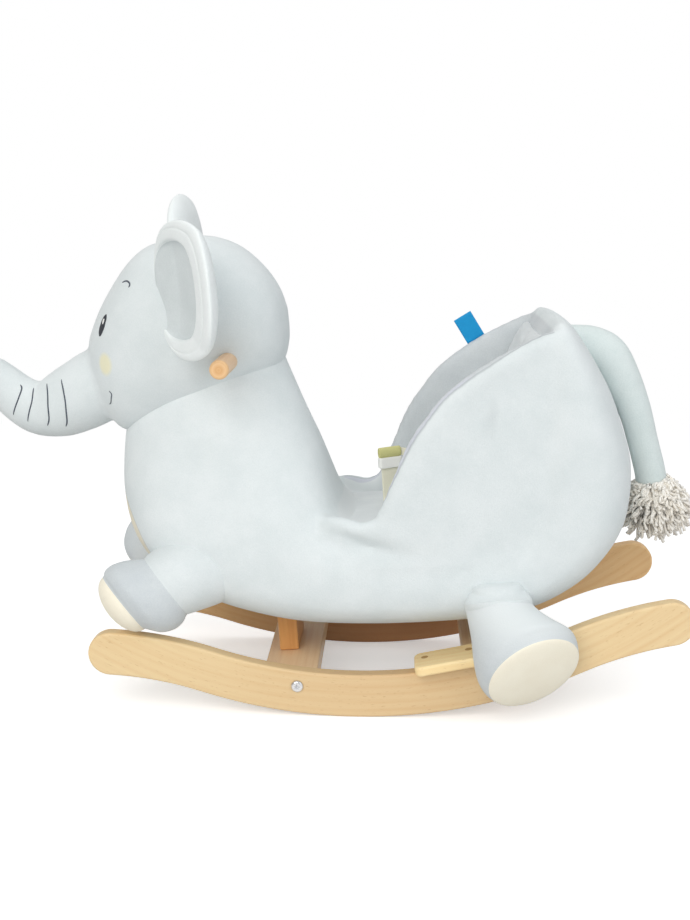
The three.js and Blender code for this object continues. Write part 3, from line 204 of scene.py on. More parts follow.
# The world is white to the camera and dimmer to the object that it lights.
SKY_LIGHT = 0.43
scene.world = bpy.data.worlds.new("studio")
scene.world.use_nodes = True
sky = scene.world.node_tree
sky_rays = sky.nodes.new("ShaderNodeLightPath")
sky_seen = sky.nodes.new("ShaderNodeMath")
sky_seen.operation = "MAXIMUM"
sky.links.new(sky_rays.outputs["Is Camera Ray"], sky_seen.inputs[0])
sky.links.new(sky_rays.outputs["Is Transmission Ray"], sky_seen.inputs[1])
sky_level = sky.nodes.new("ShaderNodeMapRange")
sky_level.inputs["To Min"].default_value = SKY_LIGHT
sky_level.inputs["To Max"].default_value = 1.0
sky.links.new(sky_seen.outputs[0], sky_level.inputs["Value"])
sky.links.new(sky_level.outputs["Result"], sky.nodes["Background"].inputs["Strength"])
sky.nodes["Background"].inputs["Color"].default_value = (1, 1, 1, 1)

WHITE, BLACK = (1.0, 1.0, 1.0), (0.0, 0.0, 0.0)
FLOOR_GLOW = (0.38, 0.38, 0.38)
FLOOR_BOUNCE = (0.7, 0.7, 0.7)
FLOOR_REACH = 6
FLOOR_FADE = (0.75, 1.9)
floor_corners = [(x * FLOOR_REACH, y * FLOOR_REACH, 0) for x, y in ((-1, -1), (1, -1), (1, 1), (-1, 1))]
floor_mesh = bpy.data.meshes.new("floor")
floor_mesh.from_pydata(floor_corners, [], [(0, 1, 2, 3)])
floor = bpy.data.objects.new("floor", floor_mesh)
scene.collection.objects.link(floor)
floor_surface = Surface("studio_floor", (0.8, 0.8, 0.8), 0.9, specular_ior_level=0.0)
floor_rays = floor_surface.node("ShaderNodeLightPath", {}, {})
floor_seen = floor_rays["Is Camera Ray"].most(floor_rays["Is Glossy Ray"])
_, floor_x, floor_y, _ = floor_surface.places()
floor_far = ((floor_x * floor_x + floor_y * floor_y) ** 0.5).rise(*FLOOR_FADE)
floor_white = floor_surface.mix(floor_far, WHITE, BLACK)
floor_glow = floor_surface.mix(floor_far, FLOOR_GLOW, WHITE)
floor_surface.colour(floor_surface.mix(floor_seen, FLOOR_BOUNCE, floor_white))
floor_surface.put(
    floor_surface.shader.inputs["Emission Color"], floor_surface.mix(floor_seen, BLACK, floor_glow)
)
floor_surface.put(floor_surface.shader.inputs["Emission Strength"], 1.0)
floor_mesh.materials.append(floor_surface.material)


# Rockers: two planks of beech, bent to an arc with upturned ends and rounded off at the tips, with
# their long edges eased by a router. They are bolted to the ends of the two stretchers.
ROCKER_RADIUS = 0.560
ROCKER_HEIGHT = 0.048
ROCKER_RETURN = 0.410
ROCKER_ARC = math.radians(21.6)
ROCKER_TURN = math.radians(15)
ROCKER_INNER = 0.106
ROCKER_OUTER = 0.124
ROCKER_EASING = 0.0032
LEFT, RIGHT = -1, 1
SIDES = (("left", LEFT), ("right", RIGHT))
ENDS = (("front", -1), ("rear", 1))
# Level places are those of the toy on the middle of its rockers. It stands tilted back from there, and
# REST_X and REST_Z are where that takes the middle of the rockers' undersides.
TILT = math.radians(4.05)
REST_X = 0.07175
REST_Z = 0.00124


def turned(a, b, angle):
    """The two coordinates after a turn by the angle, from the first's axis towards the second's."""
    c, s = math.cos(angle), math.sin(angle)
    return a * c - b * s, a * s + b * c


def angles(count):
    return np.arange(count) / count * 2 * math.pi


def unit(vectors):
    return vectors / np.linalg.norm(vectors, axis=-1)[..., None]


def numbers(items, key, size=3, kind=float):
    """What all the items of a mesh say under a key, in one flat array."""
    values = np.empty(size * len(items), kind)
    items.foreach_get(key, values)
    return values


def at_rest(points):
    """Turns level places about Y by the rest tilt and moves them to where the toy stands."""
    x, y, z = np.moveaxis(np.asarray(points, float), -1, 0)
    x, z = turned(x, z, TILT)
    return np.stack([x + REST_X, y, z + REST_Z], axis=-1)


def level(surface):
    """Level coordinates, along the toy, across it and up, as shader sockets in metres."""
    place, x, y, z = surface.places()
    along = (x - REST_X) * math.cos(TILT) + (z - REST_Z) * math.sin(TILT)
    up = (z - REST_Z) * math.cos(TILT) - (x - REST_X) * math.sin(TILT)
    return along, y, up


def mesh_of(name, places, faces, merge=0.0):
    """Mesh from places and faces, with its normals out and points nearer than merge made one."""
    mesh = bpy.data.meshes.new(name)
    mesh.from_pydata(places.tolist(), [], [tuple(face) for face in faces])
    shell = bmesh.new()
    shell.from_mesh(mesh)
    if merge:
        bmesh.ops.remove_doubles(shell, verts=shell.verts, dist=merge)
    bmesh.ops.recalc_face_normals(shell, faces=shell.faces)
    shell.to_mesh(mesh)
    shell.free()
    return mesh


def piece(name, points, faces, material, slot, body, *hidden, smooth=True, resting=False):
    """Mesh object from level places and faces, riding a body for the nodes it replaces.

    Points that are where the toy stands already are resting.
    """
    mesh = mesh_of(name, np.asarray(points, float) if resting else at_rest(points), faces, 1e-6)
    mesh.polygons.foreach_set("use_smooth", [smooth] * len(mesh.polygons))
    mesh.materials.append(material)
    made = bpy.data.objects.new(name, mesh)
    scene.collection.objects.link(made)
    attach(made, body)
    if hidden:
        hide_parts(*hidden)
    return made


def eased(made, width, segments=3, angle=35):
    """Rounds a piece's edges with a bevel."""
    bevel = made.modifiers.new("eased edges", "BEVEL")
    bevel.width = width
    bevel.segments = segments
    bevel.limit_method = "ANGLE"
    bevel.angle_limit = math.radians(angle)
    bevel.harden_normals = True
    bevel.use_clamp_overlap = True
    return made


def ring_quads(rings, sides):
    """Quads between each ring of points and the next."""
    ring, k = np.meshgrid(np.arange(rings - 1), np.arange(sides), indexing="ij")
    a, b = ring * sides + k, ring * sides + (k + 1) % sides
    return np.stack([a, b, b + sides, a + sides], axis=-1).reshape(-1, 4).tolist()


def flat_ends(rings, sides):
    """One face over the first ring of points and one over the last."""
    count = rings * sides
    return [list(range(sides)), list(range(count - 1, count - sides - 1, -1))]


def slab(outline, y0, y1):
    """Closed outline in X and Z given a thickness along Y: two faces and a band between them."""
    n = len(outline)
    sheets = [np.column_stack([outline[:, 0], np.full(n, y), outline[:, 1]]) for y in (y0, y1)]
    return np.concatenate(sheets), [*flat_ends(2, n), *ring_quads(2, n)]


def rocker_outline():
    """Half the outline is the arc below, the upturned end, the round tip and the way back along the top."""
    arc = np.linspace(0, ROCKER_ARC, 28)
    end_arc = ROCKER_ARC - np.linspace(0, ROCKER_TURN, 16)[1:]
    middle = ROCKER_RADIUS - ROCKER_HEIGHT / 2
    tip_way = np.array([math.sin(ROCKER_ARC), -math.cos(ROCKER_ARC)])
    hub = (middle + ROCKER_RETURN) * tip_way + (0, ROCKER_RADIUS)

    def on_arc(across):
        r = ROCKER_RADIUS - across
        return np.column_stack([r * np.sin(arc), ROCKER_RADIUS - r * np.cos(arc)])

    def on_end(across):
        r = ROCKER_RETURN - ROCKER_HEIGHT / 2 + across
        return np.column_stack([hub[0] - r * np.sin(end_arc), hub[1] + r * np.cos(end_arc)])

    low, high = on_end(0), on_end(ROCKER_HEIGHT)
    centre = (low[-1] + high[-1]) / 2
    turn = np.linspace(0, math.pi, 20)[1:-1]
    arm = low[-1] - centre
    tip = centre + [turned(*arm, angle) for angle in turn]
    half = np.concatenate([on_arc(0), low, tip, high[::-1], on_arc(ROCKER_HEIGHT)[::-1]])
    other = half[1:-1] * (-1, 1)
    return np.concatenate([half, other[::-1]])


def bent_grain(surface):
    """Along the rocker's arc, out from its hub and through its thickness, in metres."""
    along, across, up = level(surface)
    hub_drop = ROCKER_RADIUS - up
    return along.arctan2(hub_drop) * ROCKER_RADIUS, (along * along + hub_drop * hub_drop) ** 0.5, across


def straight_grain(*order):
    """The level direction that the grain runs along, and the two across it, by their places in level()."""

    def grain(surface):
        directions = level(surface)
        return [directions[place] for place in order]

    return grain


def beech(name, light, dark, grain, flecks=0.35, heart=0.0):
    """Lacquered beech: growth rings as stretched noise bands, short dark flecks and a little tone drift.

    The last argument sets how strongly painted shade, a darker red-brown, shows along the middle of the
    board, where the body above shades it.
    """
    surface = Surface(name, tint(light), 0.42, coat_weight=0.18, coat_roughness=0.3, specular_ior_level=0.4)
    along, across, through = grain(surface)
    wavy = surface.noise(surface.vector(along * 2.2, across * 9, through * 9), 1.0, 2.0)
    bands = ((across * 640 + through * 260 + wavy * 12).sine() * 0.5 + 0.5) ** 1.6
    fine = surface.noise(surface.vector(along * 9, across * 260, through * 260), 1.0, 3.0, 0.6)
    drift = surface.noise(surface.vector(along * 3, across * 14, through * 14), 1.0, 2.0)
    fleck = surface.noise(surface.vector(along * 150, across * 900, through * 900), 1.0, 1.0)
    flecked = fleck.rise(0.66, 0.76)
    tone = (bands * 0.12 + fine * 0.5 + drift * 0.5).rise(0.3, 1.0)
    wood = surface.mix(tone, tint(light), tint(dark))
    wood = surface.mix(flecked * flecks, wood, tint("b98a55"))
    if heart:
        # Painted shade: the middle of the board, under the body, is painted darker and redder.
        middle = along.rise(-0.30, -0.02) * along.rise(0.21, 0.12)
        wood = surface.mix(middle * heart, wood, tint("a4582c"))
    surface.colour(wood)
    surface.rough(fine * 0.16 + 0.34)
    surface.bump(fine * 0.6 - flecked * 0.4, 0.0002, 0.5)
    return surface.material


# The right rocker's warmer, deeper colours and the red-brown along both rockers' middles, strongest on the
# right, are painted shade: the shade under the body, warmed by light bounced between the wood.
ROCKER_WOOD = {"left": ("eed5a6", "e2bf8c", 0.14), "right": ("ecc68f", "dda970", 0.62)}
for side, sign in SIDES:
    pale, warm, heart = ROCKER_WOOD[side]
    rocker = piece(
        f"rocker_plank_{side}", *slab(rocker_outline(), sign * ROCKER_INNER, sign * ROCKER_OUTER),
        beech(f"beech_rocker_{side}", pale, warm, bent_grain, heart=heart), "beech", "toy", f"rocker_{side}",
    )
    eased(rocker, ROCKER_EASING, 4)

# Bolts and barrel nuts: each rocker is drawn against a stretcher's end by a zinc-plated bolt with a
# round head and a cross recess, which screws into a barrel nut let into the stretcher.
BOLT_X = 0.101
BOLT_Z = 0.041
BOLT_SIDES = 48
BOLT_GAP = 0.0003
# Rows of radius and distance out of the rocker's face, and how far each row in the recess is drawn in
# between the arms of its cross.
BOLT_SHANK = [(0.003, -0.050), (0.003, -0.0002), (0.0058, 0.0)]
BOLT_HEAD = [(0.0062, 0.0), (0.0065, 0.0004), (0.0064, 0.0012), (0.0058, 0.0020), (0.0046, 0.0026),
             (0.0034, 0.0028), (0.0027, 0.0026), (0.0024, 0.0018), (0.0016, 0.0012), (0.0005, 0.0010)]
CROSS_PULLS = {6: 0.25, 7: 0.5, 8: 0.6}


def turned_about_y(profile, x, z, y0, sign):
    """Profile of radius and distance out, turned about a line along Y."""
    turn = angles(BOLT_SIDES)
    radius, out = np.asarray(profile, float).T[..., None]
    y = np.broadcast_to(sign * (y0 + out), (len(radius), BOLT_SIDES))
    return np.stack([x + radius * np.cos(turn), y, z + radius * np.sin(turn)], axis=-1)


def lofted(rings):
    """Closed rings of points joined in order, with a point in the middle of each end."""
    rings = np.asarray(rings, float)
    m, n = rings.shape[:2]
    k = np.arange(n)
    first = np.column_stack([np.full(n, m * n), (k + 1) % n, k]).tolist()
    last = np.column_stack([np.full(n, m * n + 1), (m - 1) * n + k, (m - 1) * n + (k + 1) % n]).tolist()
    points = np.concatenate([rings.reshape(-1, 3), rings[:1].mean(axis=1), rings[-1:].mean(axis=1)])
    return points, ring_quads(m, n) + first + last


def coated(name, material):
    """Gives a node of the frame a material of its own."""
    nodes[name].data.materials.clear()
    nodes[name].data.materials.append(material)


steel = Surface("zinc_plated_steel", tint("c9cacd"), 0.3, metallic=1.0)
steel_place, *_ = steel.places()
steel_wear = steel.noise(steel_place, 900, 3.0)
steel.rough(steel_wear * 0.25 + 0.2)
steel.colour(steel.mix(steel_wear, tint("b9bbbf"), tint("dcdcdd")))
steel.bump(steel_wear, 0.00005, 0.4)
between_arms = (0.5 - 0.5 * np.cos(4 * angles(BOLT_SIDES)))[:, None]
for side, sign in SIDES:
    for end, way in ENDS:
        x = way * BOLT_X
        head = turned_about_y(BOLT_HEAD, x, BOLT_Z, ROCKER_OUTER + BOLT_GAP, sign)
        for row, pull in CROSS_PULLS.items():
            head[row, :, ::2] += ((x, BOLT_Z) - head[row, :, ::2]) * pull * between_arms
        shank = turned_about_y(BOLT_SHANK, x, BOLT_Z, ROCKER_OUTER, sign)
        piece(
            f"bolt_{end}_{side}", *lofted(np.concatenate([shank, head])), steel.material, "steel", "toy",
            f"rocker_bolt_{end}_{side}",
        )
        coated(f"barrel_nut_{end}_{side}", steel.material)

# Stretchers, posts and hidden boards: planed beech with eased edges. The stretchers lie flat between
# the rockers, a post stands on each, and the posts carry the seat board inside the stuffed body.
BOARD_EASING = 0.002
# Each board's middle along the toy, half its length there, half its width, its base and its top.
FRAME_BOARDS = {
    "stretcher": (0.110, 0.030, 0.1057, 0.032, 0.050),
    "post": (0.116, 0.011, 0.038, 0.0503, 0.1497),
}


def board(middle, half_length, half_width, base, top):
    """Eight corners and six faces."""
    ends = (middle - half_length, middle + half_length)
    points = [(x, y, z) for x in ends for y in (-half_width, half_width) for z in (base, top)]
    return points, [(0, 1, 3, 2), (4, 6, 7, 5), (0, 4, 5, 1), (2, 3, 7, 6), (0, 2, 6, 4), (1, 5, 7, 3)]


board_wood = {
    # The stretchers are painted paler than the rest of the beech: a painted reflection of the floor's light
    # in their lacquer.
    "stretcher": beech("beech_across", "f5d6ae", "e5bb8a", straight_grain(1, 0, 2)),
    "post": beech("beech_upright", "e2a96a", "cc8c4c", straight_grain(2, 1, 0)),
}
for end, way in ENDS:
    for part, (middle, *sizes) in FRAME_BOARDS.items():
        made = piece(
            f"{part}_board_{end}", *board(way * middle, *sizes), board_wood[part], "beech", "toy",
            f"{end}_{part}", smooth=False,
        )
        eased(made, BOARD_EASING)
for name in ("seat_board", "back_board", "neck_board"):
    coated(name, board_wood["post"])
yellow_plated = Surface("yellow_plated_steel", tint("c99f63"), 0.4, metallic=0.3)
for name in nodes:
    if "screw" in name:
        coated(name, (yellow_plated if "footrest" in name else steel).material)

# Handle dowel: a turned beech bar through the neck, for the child's hands. Its ends are chamfered and
# show the end grain as rings.
HANDLE_X = -0.152
HANDLE_Z = 0.390
HANDLE_HALF = 0.140
# Rows of radius and distance in from the end, which is hollowed a little inside its chamfer.
HANDLE_END = [(0.0002, 0.0), (0.0044, 0.0), (0.0050, 0.00015), (0.0078, 0.0001), (0.0086, 0.0004),
              (0.0096, 0.0015), (0.0100, 0.0026), (0.0100, 0.0100)]
END_GRAIN_DEPTH = 0.0022
dowel_wood = beech("beech_dowel", "edc9a0", "dcae80", straight_grain(1, 0, 2), flecks=0.25)
dowel_end = Surface("beech_end_grain", tint("e9bd88"), 0.5)
end_along, _, end_up = level(dowel_end)
end_radius = ((end_along - HANDLE_X) ** 2 + (end_up - HANDLE_Z) ** 2) ** 0.5
end_rings = (end_radius * 2600).sine() * 0.5 + 0.5
end_centre = end_radius.rise(0.0052, 0.0044)
end_colour = dowel_end.mix(end_rings * 0.25 + end_centre * 0.45, tint("ecc391"), tint("d7a063"))
dowel_end.colour(end_colour)
dowel_end.bump(end_rings, 0.0001, 0.5)
dowel_profile = [(r, inwards - HANDLE_HALF) for r, inwards in HANDLE_END]
dowel_profile += [(HANDLE_END[-1][0], y) for y in np.linspace(-0.12, 0.12, 13)]
dowel_profile += [(r, HANDLE_HALF - inwards) for r, inwards in HANDLE_END[::-1]]
dowel_rings = turned_about_y(dowel_profile, HANDLE_X, HANDLE_Z, 0, 1)
dowel = piece("handle_bar", *lofted(dowel_rings), dowel_wood, "beech", "toy", "handle_dowel")
dowel.data.materials.append(dowel_end.material)
at_end = np.abs(numbers(dowel.data.polygons, "center")[1::3]) > HANDLE_HALF - END_GRAIN_DEPTH
dowel.data.polygons.foreach_set("material_index", at_end.astype(np.int32))

# Footrests: a beech plate with round corners and eased edges lies across the top of each rocker, in
# front of the rear leg. Two screws hold it down from above.
FOOT_START = 0.027
FOOT_LENGTH = 0.085
FOOT_WIDTH = 0.046
FOOT_THICK = 0.011
FOOT_CORNER = 0.008
FOOT_OUT = 0.118
FOOT_EASING = 0.003
FOOT_LIFT = 0.0006
top_radius = ROCKER_RADIUS - ROCKER_HEIGHT
foot_ends = [ROCKER_RADIUS - math.sqrt(top_radius**2 - x**2) for x in (FOOT_START, FOOT_START + FOOT_LENGTH)]
foot_tilt = math.atan2(foot_ends[1] - foot_ends[0], FOOT_LENGTH)
foot_middle = (FOOT_START + FOOT_LENGTH / 2, sum(foot_ends) / 2 + FOOT_LIFT)


def rounded_rectangle(length, width, corner, steps=8):
    """Outline through the four corner arcs in turn."""
    turn = np.linspace(0, math.pi / 2, steps)
    arcs = []
    for k, (sx, sy) in enumerate(((1, 1), (-1, 1), (-1, -1), (1, -1))):
        angle = turn + k * math.pi / 2
        arcs.append(np.column_stack([sx * (length / 2 - corner) + corner * np.cos(angle),
                                     sy * (width / 2 - corner) + corner * np.sin(angle)]))
    return np.concatenate(arcs)


beech_foot = beech("beech_footrest", "ffe8b4", "f6cf8c", straight_grain(0, 1, 2))
for side, sign in SIDES:
    points, faces = slab(rounded_rectangle(FOOT_LENGTH, FOOT_WIDTH, FOOT_CORNER), 0, FOOT_THICK)
    x, high, y = points.T
    x, z = turned(x, high, foot_tilt)
    plate = np.column_stack([x + foot_middle[0], y + sign * FOOT_OUT, z + foot_middle[1]])
    plate = piece(f"footrest_plate_{side}", plate, faces, beech_foot, "beech", "toy", f"footrest_{side}")
    eased(plate, FOOT_EASING, 4)

# Stuffed body: chest, belly, rump and the two side walls of the bucket seat are one skin of pale plush,
# filled with wadding over the wooden frame. Its inside, round the child, is a light grey liner that
# wraps over the rim of the walls, and a cream patch is sewn to the front of the chest.
BODY_HALF_WIDTH = 125
WALL_OUT = 120
WALL_IN = 97
WALL_ROUNDS = 13
WALL_LEAN_FRONT = 0.014
WALL_LEAN_REAR = 0.005
SHOULDER_MIDDLE = (0.035, 0.0985, 0.163)
SHOULDER_REACH = 0.165
SHOULDER_RADIUS = 0.0232
# Sections of the torso from the neck round under the seat to the top of the back, in millimetres: the
# outer rail's place along and up, the inner rail's, the share of the half width, and how square it is.
RAILS = np.array(
    [(-235, 404, -104, 402, 0.42, 2.2), (-262, 360, -92, 366, 0.5, 2.2), (-281, 322, -78, 326, 0.58, 2.2),
     (-288, 284, -64, 288, 0.68, 2.4), (-289, 250, -55, 258, 0.79, 2.7), (-283, 215, -48, 234, 0.88, 3.0),
     (-269, 184, -39, 215, 0.94, 3.1), (-244, 154, -22, 202, 0.97, 3.0), (-208, 129, -1, 196, 0.985, 2.9),
     (-163, 110, 18, 192, 1, 2.8), (-105, 94, 36, 190, 1, 2.7), (-35, 86, 52, 189, 1, 2.6),
     (38, 84, 68, 188, 1, 2.6), (106, 87, 86, 188, 1, 2.7), (166, 98, 103, 188, 0.995, 2.8),
     (214, 122, 118, 191, 0.99, 2.8), (246, 152, 128, 198, 0.985, 2.8), (266, 184, 134, 210, 0.98, 2.8),
     (274, 220, 139, 228, 0.975, 2.8), (275, 255, 142, 252, 0.97, 2.8), (267, 291, 148, 286, 0.965, 2.8),
     (256, 327, 156, 319, 0.96, 2.8), (242, 357, 165, 348, 0.95, 2.9), (228, 383, 173, 373, 0.935, 2.9),
     (216, 402, 180, 392, 0.905, 2.8), (206, 411, 187, 403, 0.86, 2.6), (199, 414, 193, 409, 0.78, 2.4)]
)
# The seat wall's outline, along and up, in millimetres: over the dip at the waist, up to the back's top
# and down inside the rump.
WALL_EDGE = np.array(
    [(-86, 160), (-78, 192), (-68, 212), (-56, 221), (-40, 221), (-25, 216), (-8, 217), (2, 232), (16, 261),
     (34, 297), (52, 321), (72, 344), (92, 359), (111, 371), (130, 381), (150, 390), (170, 398), (188, 403),
     (202, 396), (212, 360), (214, 300), (213, 235), (206, 186), (186, 154), (150, 134), (60, 124),
     (-20, 130), (-62, 140)]
)


def through(rows, count, closed=False):
    """Catmull-Rom curve through the rows, sampled at evenly spaced shares of its rows."""
    rows = np.asarray(rows, float)
    m = len(rows)
    at = np.linspace(0, m if closed else m - 1, count, endpoint=not closed)
    k = np.minimum(at.astype(int), m - 1 if closed else m - 2)
    t = (at - k)[:, None]
    if closed:
        p = [rows[(k + shift) % m] for shift in (-1, 0, 1, 2)]
    else:
        padded = np.concatenate([[2 * rows[0] - rows[1]], rows, [2 * rows[-1] - rows[-2]]])
        p = [padded[k + shift] for shift in range(4)]
    return 0.5 * (
        2 * p[1] + (p[2] - p[0]) * t + (2 * p[0] - 5 * p[1] + 4 * p[2] - p[3]) * t**2
        + (3 * p[1] - p[0] - 3 * p[2] + p[3]) * t**3
    )


def squarish(sides, power):
    """Cosine and sine round a full turn, each raised to 2 over the power with its sign kept."""
    turn = angles(sides)
    return [np.sign(wave) * np.abs(wave) ** (2 / power) for wave in (np.cos(turn), np.sin(turn))]


def superellipse(centre, across, sideways, power, sides):
    """Rings round the centres: each half axis times its squarish cosine or sine."""
    c, s = squarish(sides, np.broadcast_to(power, len(centre))[:, None])
    return centre[:, None] + across[:, None] * c[..., None] + sideways[:, None] * s[..., None]


def torso():
    """Sections between the outer and the inner rail, joined in order."""
    rows = through(RAILS, 131)
    outer = np.column_stack([rows[:, 0], np.zeros(len(rows)), rows[:, 1]]) / 1000
    inner = np.column_stack([rows[:, 2], np.zeros(len(rows)), rows[:, 3]]) / 1000
    sideways = np.zeros_like(outer)
    sideways[:, 1] = rows[:, 4] * BODY_HALF_WIDTH / 1000
    return lofted(superellipse((outer + inner) / 2, (outer - inner) / 2, sideways, rows[:, 5], 84))


def side_wall(sign):
    """Outline of the wall, drawn in by a quarter circle towards each face to round its edge.

    The wall leans in towards the neck at its front and towards the back rest at its rear.
    """
    line = through(WALL_EDGE, 150, closed=True) / 1000
    along, up = line.T
    lean = WALL_LEAN_FRONT * np.clip((-0.012 - along) / 0.055, 0, 1) ** 1.5
    lean += WALL_LEAN_REAR * np.clip((along - 0.13) / 0.07, 0, 1)
    lean *= np.clip((up - 0.150) / 0.06, 0, 1)
    ahead = unit(np.roll(line, -1, axis=0) - np.roll(line, 1, axis=0))
    inwards = np.column_stack([ahead[:, 1], -ahead[:, 0]])
    radius, middle = (WALL_OUT - WALL_IN) / 2000, (WALL_OUT + WALL_IN) / 2000
    rings = []
    for bend in np.linspace(-math.pi / 2, math.pi / 2, WALL_ROUNDS):
        x, z = (line + inwards * radius * (1 - math.cos(bend))).T
        rings.append(np.column_stack([x, sign * (middle + radius * math.sin(bend) - lean), z]))
    n = len(line)
    return np.concatenate(rings), ring_quads(WALL_ROUNDS, n) + flat_ends(WALL_ROUNDS, n)


def limb(line, radius, sides, power=2.0):
    """Rings square to a line: each point out from it by the radius, round a frame that keeps Y level."""
    ahead = unit(np.gradient(line, axis=0))
    side = unit(np.array([0, 1, 0]) - ahead * ahead[:, 1:2])
    over = np.cross(ahead, side)
    radius = np.asarray(radius)[:, None]
    return superellipse(line, over * radius, side * radius, power, sides)


def shoulder(sign):
    """Roll of wadding inside the join of the wall and the belly, which keeps that join smooth outside."""
    share = np.linspace(-1, 1, 30)
    x, y, z = SHOULDER_MIDDLE
    line = np.column_stack([x + SHOULDER_REACH * share, np.full(30, sign * y), np.full(30, z)])
    return lofted(limb(line, SHOULDER_RADIUS * np.sqrt(1 - (0.99 * share) ** 8), 28))


def settled(points, edges, count):
    """Taubin smoothing: each point moves half way to its neighbours' middle and then about as far back."""
    a, b = edges.T
    near = np.bincount(a, minlength=len(points)) + np.bincount(b, minlength=len(points))
    for turn in range(2 * count):
        total = np.zeros_like(points)
        for axis, place in enumerate(points.T):
            total[:, axis] = np.bincount(a, place[b], len(points)) + np.bincount(b, place[a], len(points))
        points = points + (total / near[:, None] - points) * (-0.53 if turn % 2 else 0.5)
    return points


CLOTH_STEPS = 20


def inflated(made, pressure, cap):
    """Puffs a closed mesh up as cloth under pressure, and keeps no point's move above the cap."""
    mesh = made.data
    before = numbers(mesh.vertices, "co")
    cloth = made.modifiers.new("cloth", "CLOTH")
    cloth.settings.quality = 5
    cloth.settings.mass = 0.3
    cloth.settings.use_pressure = True
    cloth.settings.uniform_pressure_force = pressure
    cloth.settings.effector_weights.gravity = 0
    cloth.point_cache.frame_start = 1
    cloth.point_cache.frame_end = CLOTH_STEPS
    for step in range(1, CLOTH_STEPS + 1):
        scene.frame_set(step)
    depsgraph = bpy.context.evaluated_depsgraph_get()
    blown = bpy.data.meshes.new_from_object(made.evaluated_get(depsgraph))
    after = numbers(blown.vertices, "co")
    made.modifiers.remove(cloth)
    scene.frame_set(1)
    move = (after - before).reshape(-1, 3)
    far = np.maximum(np.linalg.norm(move, axis=1)[:, None], 1e-9)
    move *= np.minimum(1, cap / far)
    mesh.vertices.foreach_set("co", (before.reshape(-1, 3) + move).ravel())
    bpy.data.meshes.remove(blown)


def finer(made):
    """Divides a piece's faces once more, and rounds it as it does."""
    divide = made.modifiers.new("finer", "SUBSURF")
    divide.levels = divide.render_levels = 1


def stuffed(name, shapes, material, body, hidden, voxel, soften, pressure=0.0, cap=0.0):
    """One skin over closed shapes that overlap: their voxel remesh, softened, puffed up and made finer."""
    starts = np.cumsum([0, *[len(points) for points, _ in shapes]])
    places = at_rest(np.concatenate([points for points, _ in shapes]))
    faces = [[start + i for i in face] for start, (_, drawn) in zip(starts, shapes) for face in drawn]
    mesh = mesh_of(name, places, faces)
    made = bpy.data.objects.new(name, mesh)
    scene.collection.objects.link(made)
    remesh = made.modifiers.new("remesh", "REMESH")
    remesh.mode = "VOXEL"
    remesh.voxel_size = voxel
    skin = bpy.data.meshes.new_from_object(made.evaluated_get(bpy.context.evaluated_depsgraph_get()))
    made.modifiers.remove(remesh)
    made.data = skin
    bpy.data.meshes.remove(mesh)
    skin.name = name
    places = numbers(skin.vertices, "co").reshape(-1, 3)
    edges = numbers(skin.edges, "vertices", 2, np.int32).reshape(-1, 2)
    skin.vertices.foreach_set("co", settled(places, edges, soften).ravel())
    if pressure:
        inflated(made, pressure, cap)
    skin.polygons.foreach_set("use_smooth", [True] * len(skin.polygons))
    skin.materials.clear()
    skin.materials.append(material)
    finer(made)
    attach(made, body)
    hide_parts(*hidden)
    return made


def plush(name, light, dark, pile=1.0):
    """Short plush: brushed patches a few centimetres wide, a pile of 1.5 mm tufts, and fibres in the bump."""
    surface = Surface(name, tint(light), 0.9, sheen_weight=0.2, sheen_roughness=0.55, specular_ior_level=0.12)
    place, *_ = surface.places()
    nap = surface.noise(place, 24, 3.0, 0.6)
    tufts = surface.noise(place, 640, 2.0, 0.7)
    fibres = surface.noise(place, 2400, 1.0)
    tone = (nap * 0.5 + tufts * 0.35 + fibres * 0.15).rise(0.3, 0.72)
    surface.tone = tone
    surface.brushed = surface.mix(tone, tint(dark), tint(light))
    surface.colour(surface.brushed)
    surface.rough(tufts * 0.12 + 0.84)
    surface.bump(tufts * 0.7 + fibres * 0.3, 0.0007 * pile, 0.55)
    return surface


PLUSH_LIGHT, PLUSH_DARK = "e3e9ea", "d7dfe0"
LINER_LIGHT, LINER_DARK = "d6dbdd", "c5cbce"
PATCH_HALF_WIDTH = 0.086
PATCH_HALF_HEIGHT = 0.075
PATCH_MIDDLE = 0.184
RIM_SHADE_WIDTH = 0.005
body_plush = plush("body_plush", PLUSH_LIGHT, PLUSH_DARK)
along, across, up = level(body_plush)
off_middle = abs(across)
# The liner lies round the seat, inside a seam along the walls' rims and the back's. Beside that seam,
# towards the front, a bluish strip of painted shade runs along the inside of the rim.
seat_side = along.rise(0.0, 0.004) + along.rise(-0.049, -0.045) * up.rise(0.226, 0.222)
seat_side = seat_side.least(1.0) * along.rise(0.191, 0.188)
seam_place = 0.116 - along.rise(0.04, -0.05) * 0.016 - along.rise(0.12, 0.18) * 0.008
lined = seat_side * (seam_place + 0.0006 - off_middle).rise(0.0, 0.0012) * up.rise(0.186, 0.190)
lined_seam = seat_side * abs(off_middle - seam_place).rise(0.0016, 0.0002) * up.rise(0.2, 0.21)
# A narrow strip of painted shade along the inside of the rim, at the front.
rim_edge_shade = (off_middle - seam_place + RIM_SHADE_WIDTH).rise(-0.0006, 0.0006) * lined * along.rise(0.11, 0.09)
# The patch on the chest is an oval: 1 is its edge.
patch_edge = ((across / PATCH_HALF_WIDTH) ** 2 + ((up - PATCH_MIDDLE) / PATCH_HALF_HEIGHT) ** 2) ** 0.5
on_chest = along.rise(-0.15, -0.16)
patched = patch_edge.rise(1.008, 0.992) * on_chest
patch_seam = abs(patch_edge - 1).rise(0.022, 0.004) * on_chest


def in_body_plush(dark, light):
    """The body's plush in another pair of colours."""
    return body_plush.mix(body_plush.tone, tint(dark), tint(light))


